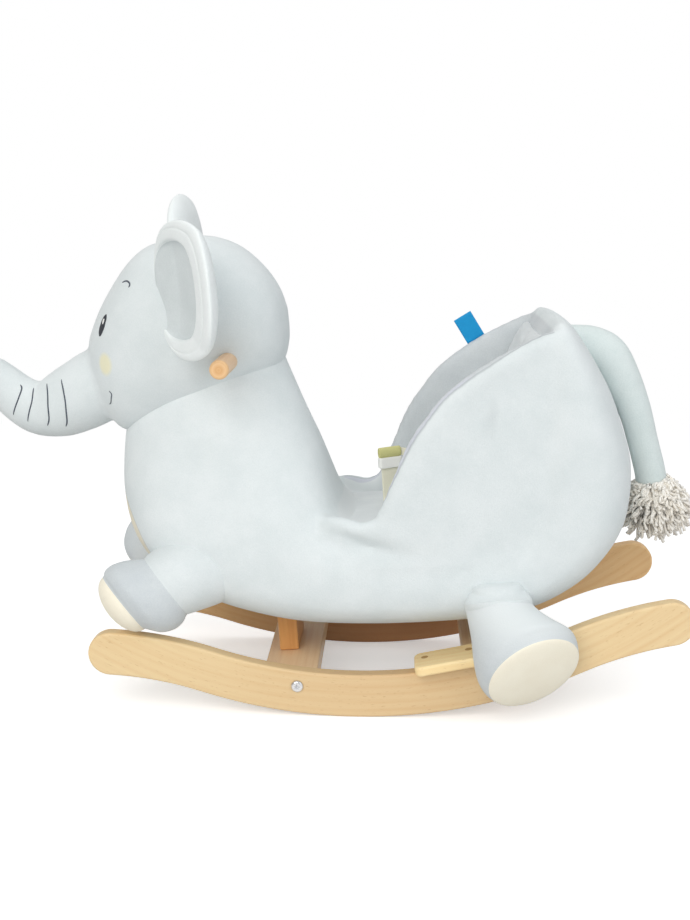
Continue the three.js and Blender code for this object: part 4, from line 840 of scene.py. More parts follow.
liner_colour = in_body_plush(LINER_DARK, LINER_LIGHT)
# Towards the front of the seat the liner is painted paler: painted light against the shade between the neck
# and the seat pad.
liner_colour = body_plush.mix(along.rise(0.015, -0.01), liner_colour, tint("e2e7e8"))
body_colour = body_plush.mix(lined, body_plush.brushed, liner_colour)
# Painted shade along the inside of the rim, a little bluer than the liner.
body_colour = body_plush.mix(rim_edge_shade * 0.7, body_colour, in_body_plush("c9ccd8", "d5d8e2"))
body_colour = body_plush.mix(patched, body_colour, in_body_plush("e4dcc4", "f1ead6"))
body_colour = body_plush.mix((lined_seam + patch_seam * 0.6).least(1.0) * 0.4, body_colour, tint("8f979b"))
body_plush.colour(body_colour)
body_forms = [torso(), *[form(sign) for form in (side_wall, shoulder) for sign in (LEFT, RIGHT)]]
stuffed(
    "stuffed_body", body_forms, body_plush.material, "toy",
    ("chest", "belly", "rump", "seat_wall_left", "seat_wall_right"), voxel=0.0055, soften=12,
)

# Seat and back cushions: two grey pads of the liner, crowned by their foam, which cover the seat board
# and the back rest between the walls.
WALL_GAP = 0.0957
CUSHION_EDGE = [(0.9, -0.8), (0.96, -0.3), (1.0, 0.3), (1.0, 0.62), (0.975, 0.86), (0.93, 0.98)]
SEAT_MIDDLE = (0.022, 0, 0.186)
BACK_LEAN = math.radians(12.5)
BACK_FOOT = (0.1408, 0.214)
BACK_MIDDLE = 0.097


def cushion(length, width, thick, crown, pull, corner, place):
    """Rings on a rounded rectangle that step in over the edge and run up the crown. Its sides pull in."""
    outline = rounded_rectangle(length, width, corner, 14)
    reach = np.abs(outline) / (length / 2, width / 2)
    drawn = 1 - pull * (1 - np.minimum(reach.min(axis=1), 1) ** 2)[:, None]
    rows = [(share, thick * high) for share, high in CUSHION_EDGE]
    rows += [(share, thick + crown * (1 - share**2.4)) for share in np.linspace(0.88, 0.06, 12)]
    rings = [np.column_stack([outline * drawn * share, np.full(len(outline), high)]) for share, high in rows]
    points, faces = lofted(rings)
    return place(points), faces


def on_seat(points):
    return points + SEAT_MIDDLE


def on_back(points):
    """Stands the cushion up against the back rest. It thins towards its top."""
    rise, across, deep = points.T
    deep = deep * (1 - 0.72 * np.clip((rise - 0.01) / 0.085, 0, 1))
    rise = rise + BACK_MIDDLE
    x = rise * math.sin(BACK_LEAN) - deep * math.cos(BACK_LEAN) + BACK_FOOT[0]
    z = rise * math.cos(BACK_LEAN) + deep * math.sin(BACK_LEAN) + BACK_FOOT[1]
    return np.column_stack([x, across, z])


# Each cushion's length, thickness, crown, pull, corner radius and place.
CUSHIONS = {
    "seat": (0.200, 0.013, 0.005, 0.02, 0.012, on_seat),
    "back": (0.190, 0.019, 0.006, 0.008, 0.026, on_back),
}
# The pads' cloth is painted paler than the liner: painted light against the shade in the hollow of the seat.
seat_cloth = plush("seat_cloth", "e0e5e6", "d2d8da")
for name, (length, *rest) in CUSHIONS.items():
    stuffed(
        f"{name}_pad", [cushion(length, 2 * WALL_GAP, *rest)], seat_cloth.material, "toy",
        (f"{name}_cushion",), voxel=0.0045, soften=2, pressure=3.0, cap=0.004,
    )

# Head and trunk: one stuffed form of plush, with a tapering trunk that curves up at its tip. It is sewn
# to the top of the neck.
HEAD_FRONT = -0.316
HEAD_LENGTH = 0.225
HEAD_BASE = 0.311
HEAD_HEIGHT = 0.212
HEAD_HALF_WIDTH = 0.088
TRUNK_ROOT = (-0.282, 0.372)
TRUNK_REACH = 0.158
TRUNK_DROP = 0.030
TRUNK_RADIUS = 0.044
CHEEK_PLACE = (-0.2865, 0.0615, 0.3945)
# Shares of the head's length from the face back, of its height to the top and to the underside, and of
# its half width.
HEAD_ROWS = np.array(
    [(0.0, 0.5, 0.34, 0.12), (0.03, 0.56, 0.2, 0.38), (0.08, 0.66, 0.08, 0.58), (0.15, 0.77, 0.005, 0.74),
     (0.24, 0.885, 0.015, 0.86), (0.33, 0.957, 0.035, 0.93), (0.43, 0.985, 0.065, 0.98),
     (0.55, 1.0, 0.1, 1.0), (0.68, 0.985, 0.15, 0.97), (0.8, 0.925, 0.2, 0.88), (0.9, 0.82, 0.26, 0.74),
     (0.965, 0.71, 0.32, 0.52), (1.0, 0.6, 0.43, 0.16)]
)
# The trunk's line as shares of its reach and of its drop, and its radius there as a share of the thickest.
TRUNK_LINE = np.array([(0, 0), (0.17, -0.25), (0.32, -0.6), (0.48, -0.91), (0.63, -0.98), (0.76, -0.6),
                       (0.87, -0.03), (0.96, 0.45), (1.02, 0.78), (1.04, 0.9)])
TRUNK_SHARES = np.array([1, 0.96, 0.92, 0.84, 0.7, 0.61, 0.545, 0.485, 0.35, 0.12])


def head_form():
    """Sections across X: an ellipse between the underside and the top, as wide as its row says."""
    rows = through(HEAD_ROWS, 61)
    high, low = HEAD_BASE + rows[:, 1] * HEAD_HEIGHT, HEAD_BASE + rows[:, 2] * HEAD_HEIGHT
    zero = np.zeros(len(rows))
    centre = np.column_stack([HEAD_FRONT + rows[:, 0] * HEAD_LENGTH, zero, (high + low) / 2])
    upwards = np.column_stack([zero, zero, (high - low) / 2])
    sideways = np.column_stack([zero, rows[:, 3] * HEAD_HALF_WIDTH, zero])
    return lofted(superellipse(centre, upwards, sideways, 2.15, 72))


def trunk_form():
    """Rings round the line from the face out to the tip."""
    out, rise, share = through(np.column_stack([TRUNK_LINE, TRUNK_SHARES]), 60).T
    x, z = TRUNK_ROOT[0] - out * TRUNK_REACH, TRUNK_ROOT[1] + rise * TRUNK_DROP
    return lofted(limb(np.column_stack([x, np.zeros(len(x)), z]), share * TRUNK_RADIUS, 40))


head_plush = plush("head_plush", PLUSH_LIGHT, PLUSH_DARK)
along, across, up = level(head_plush)
# Each cheek is a round spot of pale yellow.
cheek_x, cheek_y, cheek_z = CHEEK_PLACE
off_cheek = ((along - cheek_x) ** 2 + (abs(across) - cheek_y) ** 2 + ((up - cheek_z) * 0.85) ** 2) ** 0.5
cheek = off_cheek.rise(0.0128, 0.0065)
head_plush.colour(head_plush.mix(cheek * 0.8, head_plush.brushed, tint("ede8c2")))
head = stuffed(
    "stuffed_head", [head_form(), trunk_form()], head_plush.material, "toy", ("head", "trunk"),
    voxel=0.0042, soften=5,
)

# Face: eyes, brows, the mouth's corners and four creases on each side of the trunk, in satin stitch on the
# plush. Slate thread makes the lines and darker thread the eyes, with a white glint.
THREAD_HEIGHT = 0.0006
THREAD_STEPS = 28
EYE_HEIGHT = 0.0009
GLINT_HEIGHT = 0.0015
# Places on the left side of the face, and each line's width with its path, in millimetres.
EYE_RIM = np.array(
    [(-281.5, -51.5, 446.9), (-281.1, -54.0, 443.4), (-282.5, -55.2, 438.2), (-284.9, -55.5, 431.9),
     (-288.0, -54.3, 426.6), (-290.6, -52.2, 424.0), (-292.0, -50.0, 425.3), (-291.7, -48.2, 430.0),
     (-289.6, -47.5, 436.3), (-286.7, -47.9, 442.1), (-283.7, -49.4, 445.8)]
)
EYE_GLINT = np.array(
    [(-283.2, -51.8, 442.4), (-283.9, -53.3, 439.2), (-285.6, -52.9, 436.4), (-286.3, -51.4, 438.2),
     (-285.1, -50.6, 441.6)]
)
STITCHED = {
    "brow": (1.9, [(-260.7, -50.1, 479.7), (-257.4, -52.4, 481.0), (-254.0, -55.6, 480.9),
                   (-251.2, -59.4, 478.9), (-250.8, -61.4, 476.6), (-252.1, -61.9, 474.6)]),
    "mouth": (1.3, [(-285.9, -59.7, 365.1), (-283.4, -60.3, 361.4), (-285.1, -57.8, 356.5),
                    (-286.9, -54.8, 351.3), (-289.9, -51.9, 348.9)]),
    "crease_1": (1.6, [(-396.5, -15.9, 371.1), (-394.4, -19.3, 366.9), (-397.8, -26.1, 356.9),
                       (-406.5, -25.6, 339.6)]),
    "crease_2": (1.6, [(-381.4, -16.3, 367.2), (-381.3, -25.2, 359.1), (-383.2, -29.6, 350.2),
                       (-389.8, -28.4, 331.8)]),
    "crease_3": (1.7, [(-363.4, -23.5, 372.4), (-361.7, -30.7, 364.3), (-361.6, -34.8, 354.3),
                       (-362.8, -34.9, 335.8), (-366.8, -30.8, 326.2)]),
    "crease_4": (1.7, [(-344.9, -30.3, 377.2), (-342.1, -37.3, 365.2), (-341.0, -39.3, 350.9),
                       (-342.9, -34.6, 331.6), (-346.1, -30.3, 324.0)]),
}
# A patch's rings: their shares of its rim, and of its height above the skin.
PATCH_RINGS = (
    (0.08, -0.5), (0.6, -0.5), (0.97, -0.4), (1.02, 0.2), (0.96, 0.6), (0.8, 0.85), (0.5, 1), (0.08, 1),
)
skin_tree = BVHTree.FromObject(head, bpy.context.evaluated_depsgraph_get())


def on_skin(points):
    """Nearest places on the head's skin, and its normals there, for level places."""
    found = [skin_tree.find_nearest(Vector(point)) for point in at_rest(points)]
    return np.array([place for place, *_ in found]), np.array([normal for _, normal, *_ in found])


def thread(path, width):
    """Line of satin stitch: a flat oval across the path on the skin, drawn in at both ends."""
    places, normals = on_skin(through(path, THREAD_STEPS))
    aside = unit(np.cross(np.gradient(places, axis=0), normals))
    reach = np.sqrt(1 - (0.97 * np.linspace(-1, 1, THREAD_STEPS)) ** 6)[:, None]
    middle = places + normals * THREAD_HEIGHT * 0.2
    return lofted(superellipse(middle, aside * reach * width / 2, normals * reach * THREAD_HEIGHT, 2, 10))


def sewn_patch(rim, height):
    """Domed patch: rings on the skin from under its middle out to the rim and back over its top."""
    rim = through(rim, 40, closed=True)
    middle = rim.mean(axis=0)
    rings = []
    for share, lift in PATCH_RINGS:
        places, normals = on_skin(middle + (rim - middle) * share)
        rings.append(places + normals * lift * height)
    return lofted(rings)


def sewing_thread(name, light, dark):
    """Twisted thread: a fine grain in its colour and height."""
    surface = Surface(name, tint(light), 0.6, sheen_weight=0.1, specular_ior_level=0.3)
    place, *_ = surface.places()
    grain = surface.noise(place, 1500, 2.0, 0.6)
    surface.colour(surface.mix(grain, tint(dark), tint(light)))
    surface.rough(grain * 0.2 + 0.5)
    surface.bump(grain, 0.0003, 0.6)
    return surface.material


slate_thread = sewing_thread("slate_thread", "5b626e", "434955")
dark_thread = sewing_thread("dark_thread", "3a3e46", "26292f")
white_thread = sewing_thread("white_thread", "f6f6f2", "dcdedc")
for side, sign in SIDES:
    mirror = np.array([1, -sign, 1]) / 1000
    eye, glint = sewn_patch(EYE_RIM * mirror, EYE_HEIGHT), sewn_patch(EYE_GLINT * mirror, GLINT_HEIGHT)
    piece(f"eye_{side}", *eye, dark_thread, "yarn", "toy", resting=True)
    piece(f"eye_glint_{side}", *glint, white_thread, "yarn", "toy", resting=True)
    for name, (width, path) in STITCHED.items():
        line = thread(np.array(path) * mirror, width / 1000)
        piece(f"{name}_{side}", *line, slate_thread, "yarn", "toy", resting=True)

# Ears: two padded flaps of plush, each with an inner panel set into a boxed band and gathered at its foot.
# The panel is painted a darker grey, painted shade for the hollow of the cup. They are sewn to the head along
# their inner edge.
EAR_OUT = 0.116
EAR_IN = 0.018
EAR_HEIGHT = 0.142
EAR_THICK = 0.019
EAR_CUP = 0.014
EAR_SIDES = 96
EAR_POWER = 2.3
EAR_PANEL = 0.71
EAR_PANEL_SHIFT = 0.25
EAR_PANEL_RINGS = 15
EAR_RECESS = 0.0075
EAR_SEAM = 0.89
EAR_SEAM_DEPTH = 0.0013
# Shares of the way from the middle to the rim, closer together at the panel's edge and at the seam.
EAR_SHARES = np.concatenate(
    [np.linspace(0.04, 0.62, 13), [0.66, 0.69, 0.71, 0.725, 0.74, 0.77, 0.81, 0.85, 0.875, 0.89, 0.905],
     [0.93, 0.96, 0.985, 0.997]]
)
# Each gather's angle round the rim in degrees, its width in radians and its depth.
EAR_GATHERS = ((-108, 0.09, 0.0075), (-84, 0.07, 0.0055), (-131, 0.07, 0.005))
# Each seam's middle along, out and up, and how far its flap is swept back and raised, in degrees.
EAR_PLACES = {"left": (-0.204, 0.080, 0.4705, 36, 0), "right": (-0.216, 0.077, 0.489, 5, 12)}


def ear_form():
    """Rings from the middle of the front panel out to the rim and back to the middle of the rear panel.

    Out and up follow a superellipse. The front panel lies deeper than the band round it, and a seam runs
    along the band.
    """
    turn = angles(EAR_SIDES)
    out, up = squarish(EAR_SIDES, EAR_POWER)
    share = np.concatenate([EAR_SHARES, [1.0], EAR_SHARES[::-1]])[:, None]
    face = np.repeat([1.0, 0.0, -1.0], (len(EAR_SHARES), 1, len(EAR_SHARES)))[:, None]
    front = face > 0
    swell = face * (EAR_THICK / 2) * np.sqrt(1 - np.minimum(share, 1) ** 6)
    groove = front * EAR_SEAM_DEPTH * np.exp(-(((share - EAR_SEAM) / 0.011) ** 2))
    recess = front * EAR_RECESS / (1 + np.exp((share - EAR_PANEL - 0.005) * 110))
    recess = recess * np.clip((out * share + 0.62) / 0.5, 0, 1)
    set_in = front * EAR_PANEL_SHIFT * np.clip((1 - share) / (1 - EAR_PANEL), 0, 1)
    x = ((EAR_OUT + EAR_IN) / 2) * (1 + out * share - set_in) - EAR_IN
    dish = EAR_CUP * share**2 * np.maximum(0, np.maximum(out * share, 0.7 * np.abs(up) * share))
    pinch = np.zeros_like(turn)
    for at, wide, deep in EAR_GATHERS:
        pinch += deep * np.exp(-(((turn - math.radians(at)) / wide) ** 2))
    y = dish + swell - groove - recess - pinch * front * np.clip((share - 0.72) / 0.15, 0, 1)
    z = (EAR_HEIGHT / 2) * up * share * (1 - 0.6 * pinch * share**3 / EAR_THICK)
    return np.stack([x, y, z], axis=-1)


def on_head(rings, sign, seam_x, seam_y, middle_z, sweep, rise):
    """Raises the flap about its own Y, sweeps it back about Z and moves its seam to the head's side."""
    x, y, z = np.moveaxis(rings, -1, 0)
    x, z = turned(x, z, math.radians(rise))
    x, y = turned(x, y, math.radians(90 - sweep))
    return np.stack([x + seam_x, sign * (y + seam_y), z + middle_z], axis=-1)


ear_plush = plush("ear_plush", "f1f6f6", "e8eeee")
# The inner panel's darker grey is painted shade, for the hollow of the cup.
ear_lining = plush("ear_lining", "d9e0e1", "cbd3d4", 0.7)
for side, sign in SIDES:
    flap = on_head(ear_form(), sign, *EAR_PLACES[side])
    ear = piece(f"ear_flap_{side}", *lofted(flap), ear_plush.material, "plush", f"{side}_ear", f"ear_{side}")
    ear.data.materials.append(ear_lining.material)
    panel = np.arange(len(ear.data.polygons)) < EAR_PANEL_RINGS * EAR_SIDES
    panel[(len(flap) - 1) * EAR_SIDES : len(flap) * EAR_SIDES] = True
    ear.data.polygons.foreach_set("material_index", panel.astype(np.int32))
    finer(ear)

# Legs: stuffed stubs with a pale upper, a grey paw below the seam and a cream sole. The front paws rest
# on the rockers' ends, and the rear feet stand out beside them.
PAW_GAP = 0.0006
PAW_BEND = 0.0016
PAW_EDGE = 0.0025
UPPER_EDGE = {"front": 0.0025, "rear": 0.009}
# Rows of a ring's middle (along, out from the middle, up) and its radius, in millimetres, and the way
# that the leg runs there as degrees up and degrees in: the paw's from the sole's edge up, then the
# upper's into the body. After them come the sole's dome and how square the upper is.
LEGS = {
    "front": (
        [(-280, 117, 143.5, 36.3, 31, 20), (-275.5, 116.6, 145, 41, 31, 20), (-266, 116, 146.5, 45.5, 30, 20),
         (-253, 113, 149, 46, 30, 20), (-243, 110, 152, 42.5, 30, 20), (-237, 108.2, 155, 38.5, 30, 20)],
        [(-235.6, 107.8, 156, 38, 30, 20), (-229, 105, 159, 40, 29, 20), (-216, 99, 163, 41, 24, 22),
         (-196, 88, 166, 40, 14, 26), (-172, 74, 168, 37, 6, 30)],
        0.020, 2.0,
    ),
    "rear": (
        [(149, 162, 58.5, 52, 30.5, 67.5), (146.5, 157, 63, 55, 32, 66), (143, 151.5, 70, 55.5, 38, 66),
         (138.5, 146, 81, 52, 46, 68), (130.5, 138.5, 97, 43.5, 54, 74), (122, 131, 112, 37, 60, 82),
         (119, 128.2, 118.6, 35.5, 62, 86)],
        [(118.7, 127.8, 119.8, 35.6, 62, 88), (118.5, 125, 125, 35.4, 72, 88),
         (118.5, 121.5, 131, 32.5, 82, 88), (118.5, 119.5, 136, 27.5, 86, 88)],
        0.007, 2.2,
    ),
}


def leg_rings(rows, power=2.0, count=30):
    """Rings at evenly spaced shares of the rows, square to the way that each row gives."""
    rows = through(rows, count)
    rise, turn = np.radians(rows[:, 4]), np.radians(rows[:, 5])
    ahead = np.column_stack([np.cos(rise) * np.cos(turn), -np.cos(rise) * np.sin(turn), np.sin(rise)])
    if rows[0, 0] > 0:
        ahead[:, 0] *= -1
    over = unit(np.array([0, 0, 1]) - ahead * ahead[:, 2:3])
    side = np.cross(ahead, over)
    reach = rows[:, 3:4] / 1000
    return superellipse(rows[:, :3] / 1000, over * reach, side * reach, power, 56), ahead


def pressed(points):
    """Flattens what would be below the rocker's upturned end, which the soft paw sits on."""
    reach = ROCKER_RADIUS - ROCKER_HEIGHT / 2 + ROCKER_RETURN
    hub, drop = reach * math.sin(ROCKER_ARC), reach * math.cos(ROCKER_ARC) - ROCKER_RADIUS
    x, y, z = np.moveaxis(points, -1, 0)
    top = np.sqrt((ROCKER_RETURN + ROCKER_HEIGHT / 2) ** 2 - (x + hub) ** 2) - drop + PAW_GAP
    return np.stack([x, y, top + PAW_BEND * np.logaddexp(0, (z - top) / PAW_BEND)], axis=-1)


def tucked(rings, depth):
    """Draws both ends of a stretch of rings in, as a seam does, by a quarter round of the given depth."""
    ends = []
    for ring, beside in ((rings[0], rings[1]), (rings[-1], rings[-2])):
        middle = ring.mean(axis=0)
        outwards = unit(middle - beside.mean(axis=0))
        arm = ring - middle
        reach = np.linalg.norm(arm, axis=1).mean()
        bend = np.linspace(0, math.pi / 2, 5)[1:, None, None]
        ends.append(middle + arm * (1 - depth * (1 - np.cos(bend)) / reach) + outwards * depth * np.sin(bend))
    return np.concatenate([ends[0][::-1], rings, ends[1]])


paw_plush = plush("paw_plush", "d7dddf", "c9d0d4")
along, across, up = level(paw_plush)
paler = along.rise(0.0, 0.01) * up.rise(0.082, 0.122)
paw_plush.colour(paw_plush.mix(paler, paw_plush.brushed, tint("e0e6e7")))
sole_plush = plush("sole_plush", "fffae8", "f9f2de", 0.7)
leg_plush = plush("leg_plush", PLUSH_LIGHT, PLUSH_DARK)
# The right front leg reaches further forward and turns further in at the paw, and its upper follows.
FAR_ROWS = np.zeros((7, 6))
FAR_ROWS[:6, 0] = -16
FAR_ROWS[:6, 5] = np.linspace(34, 0, 6)
for end, (paw_rows, upper_rows, dome, power) in LEGS.items():
    seated = pressed if end == "front" else np.asarray
    for side, sign in SIDES:
        mirror = np.array([1, sign, 1])
        far = FAR_ROWS if (end, side) == ("front", "right") else 0 * FAR_ROWS
        upper, _ = leg_rings(upper_rows, power, 22)
        upper[..., 0] += far[0, 0] / 1000 * np.clip((-0.172 - upper[..., 0]) / 0.0636, 0, 1)
        paw, ahead = leg_rings(paw_rows + far[: len(paw_rows)])
        edge, middle = paw[0], paw[0].mean(axis=0)
        bend = np.linspace(-0.5, 1.48, 16)[:, None, None]
        sole = middle + (edge - middle) * 0.99 * np.cos(bend) - ahead[0] * (dome * np.sin(bend) + 0.0012)
        parts = {
            "upper": ("leg", tucked(upper, UPPER_EDGE[end]), leg_plush, "plush"),
            "ball": ("paw", seated(tucked(paw, PAW_EDGE)), paw_plush, "paw"),
            "cap": ("sole", seated(sole), sole_plush, "sole"),
        }
        for form, (part, rings, cloth, slot) in parts.items():
            name = f"{part}_{form}_{end}_{side}"
            made = piece(name, *lofted(rings * mirror), cloth.material, slot, "toy", f"{end}_{part}_{side}")
            finer(made)

# Tail: a stuffed tube of plush that hangs in an arc from its seam high on the rump.
# Its line along and up, and its radius, in millimetres.
TAIL_ROWS = np.array(
    [(212, 388, 11), (226, 381, 17), (243, 373, 21.5), (261, 360, 22.5), (275.5, 332, 20.5), (288, 298, 18),
     (296, 263, 16.8), (302.6, 232, 17), (304.6, 219, 17)]
)
tail_rows = through(TAIL_ROWS, 56) / 1000
tail_line = np.column_stack([tail_rows[:, 0], np.zeros(56), tail_rows[:, 1]])
tail_plush = plush("tail_plush", "dfe8e7", "cfdbda")
tail = piece(
    "tail_tube", *lofted(tucked(limb(tail_line, tail_rows[:, 2], 40), 0.006)), tail_plush.material, "plush",
    "tail", "tail",
)

# Tuft: a pompom of soft yarn, bound at the end of the tail. Each strand leaves the binding, springs
# outwards and curls a little.
TUFT_STRANDS = 560
TUFT_SPREAD = 0.57
TUFT_LENGTH = 0.064
TUFT_HALF_WIDTH = 0.023
BINDING_RADIUS = 0.010
STRAND_STEPS = 9
STRAND_SIDES = 4
STRAND_RADIUS = 0.0020
STRAND_CURL = 0.0026
STRAND_DROOP = 0.006
chance = np.random.default_rng(7)
# A strand's direction: its turn about the tail's line and its tilt away from that line.
root = tail_line[-1]
ahead = unit(tail_line[-1] - tail_line[-3])
side = np.array([0.0, 1.0, 0.0])
over = np.cross(ahead, side)
turn = chance.uniform(0, 2 * math.pi, TUFT_STRANDS)
tilt = TUFT_SPREAD * np.arccos(1 - 2 * chance.uniform(0, 1, TUFT_STRANDS) ** 0.9)
out_way = np.cos(turn)[:, None] * side + np.sin(turn)[:, None] * over
heading = np.cos(tilt)[:, None] * ahead + np.sin(tilt)[:, None] * out_way
length = TUFT_LENGTH * np.maximum(np.cos(tilt), 0) ** 1.3 + TUFT_HALF_WIDTH * np.sin(tilt)
length *= chance.uniform(0.86, 1.08, TUFT_STRANDS)
step = np.linspace(0, 1, STRAND_STEPS)
# A strand's line is a quadratic Bezier curve from the binding over an elbow to its tip.
start = root + BINDING_RADIUS * np.sin(tilt)[:, None] * out_way
elbow = start + (0.22 * ahead + 0.33 * heading) * length[:, None]
droop = np.array([0.0, 0.0, -1.0])
tip = root + heading * length[:, None] + droop * (STRAND_DROOP * np.sin(tilt)[:, None])
path = (
    start[:, None] * ((1 - step) ** 2)[:, None]
    + elbow[:, None] * (2 * step * (1 - step))[:, None]
    + tip[:, None] * (step**2)[:, None]
)
aside = unit(np.cross(heading, droop + 0.01))
beside = np.cross(heading, aside)
phase = chance.uniform(0, 2 * math.pi, (TUFT_STRANDS, 1))
curls = chance.uniform(1.2, 2.6, (TUFT_STRANDS, 1))
# A helix that widens towards the tip gives it its curl.
sway = STRAND_CURL * step * np.cos(phase + 2 * math.pi * curls * step)
swing = STRAND_CURL * step * np.sin(phase + 2 * math.pi * curls * step)
path = path + aside[:, None] * sway[..., None] + beside[:, None] * swing[..., None]
# Its tube is square in section and swells and narrows a little along the line.
run = unit(np.gradient(path, axis=1))
first = unit(np.cross(run, np.array([0.31, 0.17, 0.93])))
second = np.cross(run, first)
spin = angles(STRAND_SIDES)
thick = STRAND_RADIUS * (1 - 0.2 * step) * (1 + 0.14 * np.sin(2 * math.pi * 3.3 * step))
tube = (path[:, :, None] + thick[None, :, None, None]
        * (np.cos(spin)[:, None] * first[:, :, None] + np.sin(spin)[:, None] * second[:, :, None]))
cell = np.arange(tube[..., 0].size).reshape(tube.shape[:3])
a, b = cell[:, :-1], np.roll(cell, -1, axis=2)[:, :-1]
c, d = np.roll(cell, -1, axis=2)[:, 1:], cell[:, 1:]
faces = np.stack([a, b, c, d], axis=-1).reshape(-1, 4).tolist()
faces += cell[:, 0].tolist() + cell[:, -1].tolist()
yarn_sheen = {"sheen_weight": 0.3, "sheen_roughness": 0.6, "specular_ior_level": 0.1}
yarn = Surface("fluffy_yarn", tint("ece8e1"), 0.95, **yarn_sheen)
yarn_place, *_ = yarn.places()
yarn_tone = yarn.noise(yarn_place, 60, 2.0)
yarn_twist = yarn.noise(yarn_place, 1400, 2.0, 0.7)
yarn_mix = (yarn_tone * 0.6 + yarn_twist * 0.5).rise(0.3, 0.8)
yarn.colour(yarn.mix(yarn_mix, tint("efe8db"), tint("fffdf8")))
yarn.bump(yarn_twist, 0.0004, 0.6)
piece("yarn_tuft", tube.reshape(-1, 3), faces, yarn.material, "yarn", "tail", "tail_tuft")

# Harness: a webbing strap stands up between the child's legs and loops round the waist belt, whose
# halves come from the side walls. A plastic slider on the strap sets its length.
STRAP_X = 0.012
STRAP_TURN = math.radians(20)
STRAP_FOOT = 0.2063
STRAP_WIDTH = 0.022
STRAP_THICK = 0.003
STRAP_TOP = STRAP_FOOT + 0.0555
STRAP_STEPS = 24
LOOP_MIDDLE = STRAP_FOOT + 0.0605
LOOP_WIDTH = 0.0262
LOOP_THICK = 0.0018
LOOP_HALF_DEPTH = 0.0028
LOOP_HALF_HEIGHT = 0.0052
# The slider's outside and its slot in plan: their length, width and corner radius.
SLIDER_OUTSIDE = (0.028, 0.009, 0.0035)
SLIDER_SLOT = (0.0228, 0.0038, 0.0012)
SLIDER_BASE = STRAP_FOOT + 0.043
SLIDER_TOP = STRAP_FOOT + 0.055
BELT_WIDTH = 0.0088
BELT_THICK = 0.0015


def webbing(name, light, dark):
    """Woven tape: ribs of warp and weft as sines of the piece's own UV."""
    surface = Surface(name, tint(light), 0.8, sheen_weight=0.1, specular_ior_level=0.2)
    mapped = surface.node("ShaderNodeUVMap", {}, {})["UV"]
    parts = surface.node("ShaderNodeSeparateXYZ", {}, {"Vector": mapped})
    warp = (parts["X"] * (2 * math.pi * 900)).sine()
    weft = (parts["Y"] * (2 * math.pi * 700)).sine()
    ribs = warp * weft * 0.5 + 0.5
    surface.colour(surface.mix(ribs, tint(dark), tint(light)))
    surface.bump(ribs, 0.0003, 0.6)
    return surface.material


def band(line, wide, width, thick):
    """Flat tape along a line: a squarish superellipse section, wide along one way and thin across it."""
    ahead = unit(np.gradient(line, axis=0))
    across = unit(wide - ahead * (ahead @ wide)[:, None])
    through_way = np.cross(ahead, across)
    return superellipse(line, across * width / 2, through_way * thick / 2, 6.0, 12)


def mapped_along(made, line, wide):
    """UV in metres: along the tape's line and across it."""
    co = numbers(made.data.vertices, "co").reshape(-1, 3)
    line = at_rest(line)
    far = np.concatenate([[0], np.cumsum(np.linalg.norm(np.diff(line, axis=0), axis=1))])
    nearest = np.argmin(np.linalg.norm(co[:, None] - line[None], axis=2), axis=1)
    ahead = unit(np.gradient(line, axis=0))
    off = co - line[nearest]
    u = far[nearest] + np.sum(off * ahead[nearest], axis=1)
    v = off @ (at_rest(wide) - at_rest(np.zeros(3)))
    uv = made.data.uv_layers.new(name="UVMap")
    corner = numbers(made.data.loops, "vertex_index", 1, np.int32)
    uv.data.foreach_set("uv", np.column_stack([u, v])[corner].ravel())


lime_tape = webbing("lime_webbing", "dbd99a", "c6c486")
cream_tape = webbing("cream_webbing", "f1efdc", "e2dfc8")
strap_way = np.array([math.cos(STRAP_TURN), math.sin(STRAP_TURN), 0.0])
strap_rise = np.linspace(STRAP_FOOT - 0.003, STRAP_TOP, STRAP_STEPS)
strap_line = np.column_stack([np.full(STRAP_STEPS, STRAP_X), np.zeros(STRAP_STEPS), strap_rise])
strap_rings = band(strap_line, strap_way, STRAP_WIDTH, STRAP_THICK)
strap = piece("strap_tape", *lofted(strap_rings), cream_tape, "webbing", "toy", "crotch_strap")
mapped_along(strap, strap_line, strap_way)
fold = np.linspace(-math.pi / 2, 1.5 * math.pi, 28)[:, None]
strap_out = np.array([-math.sin(STRAP_TURN), math.cos(STRAP_TURN), 0.0])
loop_line = np.array([STRAP_X, 0, LOOP_MIDDLE]) + strap_out * LOOP_HALF_DEPTH * np.cos(fold)
loop_line[:, 2:] += LOOP_HALF_HEIGHT * np.sin(fold)
loop_rings = band(loop_line, strap_way, LOOP_WIDTH, LOOP_THICK)
loop = piece("strap_loop", *lofted(loop_rings), lime_tape, "webbing", "toy")
mapped_along(loop, loop_line, strap_way)

plastic = Surface("white_plastic", tint("f4f4f0"), 0.42, specular_ior_level=0.5)
plastic_place, *_ = plastic.places()
plastic_grain = plastic.noise(plastic_place, 3000, 2.0)
plastic.rough(plastic_grain * 0.2 + 0.34)
plastic.colour(plastic.mix(plastic_grain, tint("efefea"), tint("f8f8f5")))
plastic.bump(plastic_grain, 0.00005, 0.4)


def slider_form():
    """Rounded frame round the strap: the slot's wall, the bottom, the outside and the top, and back."""
    outer = rounded_rectangle(*SLIDER_OUTSIDE, 6)
    inner = rounded_rectangle(*SLIDER_SLOT, 6)
    rows = [(inner, SLIDER_BASE), (inner * 1.02, SLIDER_BASE), (outer * 0.93, SLIDER_BASE),
            (outer, SLIDER_BASE + 0.0012), (outer, SLIDER_TOP - 0.0012), (outer * 0.93, SLIDER_TOP),
            (inner * 1.02, SLIDER_TOP), (inner, SLIDER_TOP - 0.0004)]
    rings = []
    for flat, z in rows:
        x, y = turned(*flat.T, STRAP_TURN)
        rings.append(np.column_stack([x + STRAP_X, y, np.full(len(flat), z)]))
    points = np.concatenate(rings)
    faces = np.array(ring_quads(len(rows) + 1, len(outer))) % len(points)
    return points, faces.tolist()


slider = piece(
    "strap_ladder", *slider_form(), plastic.material, "plastic", "slider", "strap_slider", smooth=False,
)
eased(slider, 0.0004, 2, 50)

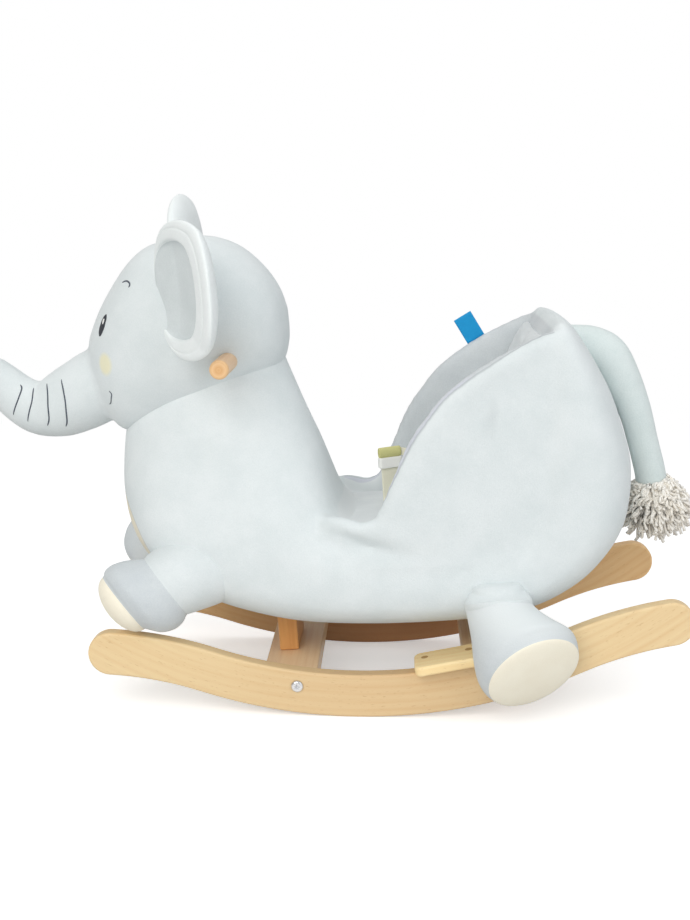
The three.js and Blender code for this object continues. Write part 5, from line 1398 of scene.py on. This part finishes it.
belt_way = np.array([0.0, 0.0, 1.0])
for side, sign in SIDES:
    # The halves lie side by side in the loop.
    slip = sign * 0.9
    belt_rows = [(0, slip, 0), (7.5, 2.7 + slip, 0), (14.5, 5.2 + slip, -1), (28, 6 + sign * 11, -8),
                 (50, sign * 50, -20), (76, sign * WALL_GAP * 1000, -30)]
    belt_line = through(belt_rows, 40) / 1000 + (STRAP_X, 0, LOOP_MIDDLE)
    belt_rings = band(belt_line, belt_way, BELT_WIDTH, BELT_THICK)
    belt = piece(f"belt_tape_{side}", *lofted(belt_rings), cream_tape, "webbing", "toy", f"waist_belt_{side}")
    mapped_along(belt, belt_line, belt_way)

# Side tag: a folded ribbon of sky blue, whose ends are sewn into the seam along the edge of the seat's
# right wall. It stands up from there and leans forwards.
TAG_SLOPE = math.radians(28)
TAG_PLACE = (0.12096, 0.112, 0.37789)
TAG_HALF = 0.0115
TAG_COLUMNS = 13


def tag_form():
    """Ribbon that stands on the wall's edge, bowed a little, with a fold along its top."""
    up = np.concatenate([np.linspace(-0.003, 0.0285, 12), [0.0295, 0.030]])
    half = np.concatenate([np.full(12, 0.0007), [0.0005, 0.0001]])[:, None]
    x, z = np.meshgrid(np.linspace(-TAG_HALF, TAG_HALF, TAG_COLUMNS), up)
    bow = 0.0010 * np.cos(x / TAG_HALF * 1.2)
    points = np.concatenate([np.stack([x, bow + way * half, z], axis=-1).reshape(-1, 3) for way in (1, -1)])
    cell = np.arange(x.size).reshape(x.shape)
    front = np.stack([cell[:-1, :-1], cell[:-1, 1:], cell[1:, 1:], cell[1:, :-1]], axis=-1).reshape(-1, 4)
    rim = np.concatenate([cell[0], cell[1:, -1], cell[-1, -2::-1], cell[-2:0:-1, 0]])
    beside = np.roll(rim, -1)
    wall = np.column_stack([rim, beside, beside + x.size, rim + x.size])
    x, y, z = points.T
    x, z = turned(x, z, TAG_SLOPE)
    faces = np.concatenate([front, front[:, ::-1] + cell.size, wall])
    return np.column_stack([x, y, z]) + TAG_PLACE, faces.tolist()


ribbon = Surface("blue_ribbon", tint("0c97d2"), 0.6, sheen_weight=0.1, specular_ior_level=0.3)
ribbon_place, ribbon_x, _, ribbon_z = ribbon.places()
ribbon_weave = (ribbon_x * 9000).sine() * (ribbon_z * 7000).sine() * 0.5 + 0.5
ribbon_tone = ribbon.noise(ribbon_place, 120, 2.0)
ribbon.colour(ribbon.mix(ribbon_weave * 0.4 + ribbon_tone * 0.5, tint("048cca"), tint("18a0da")))
ribbon.bump(ribbon_weave, 0.0001, 0.5)
piece("ribbon_tag", *tag_form(), ribbon.material, "tag", "toy", "side_tag")
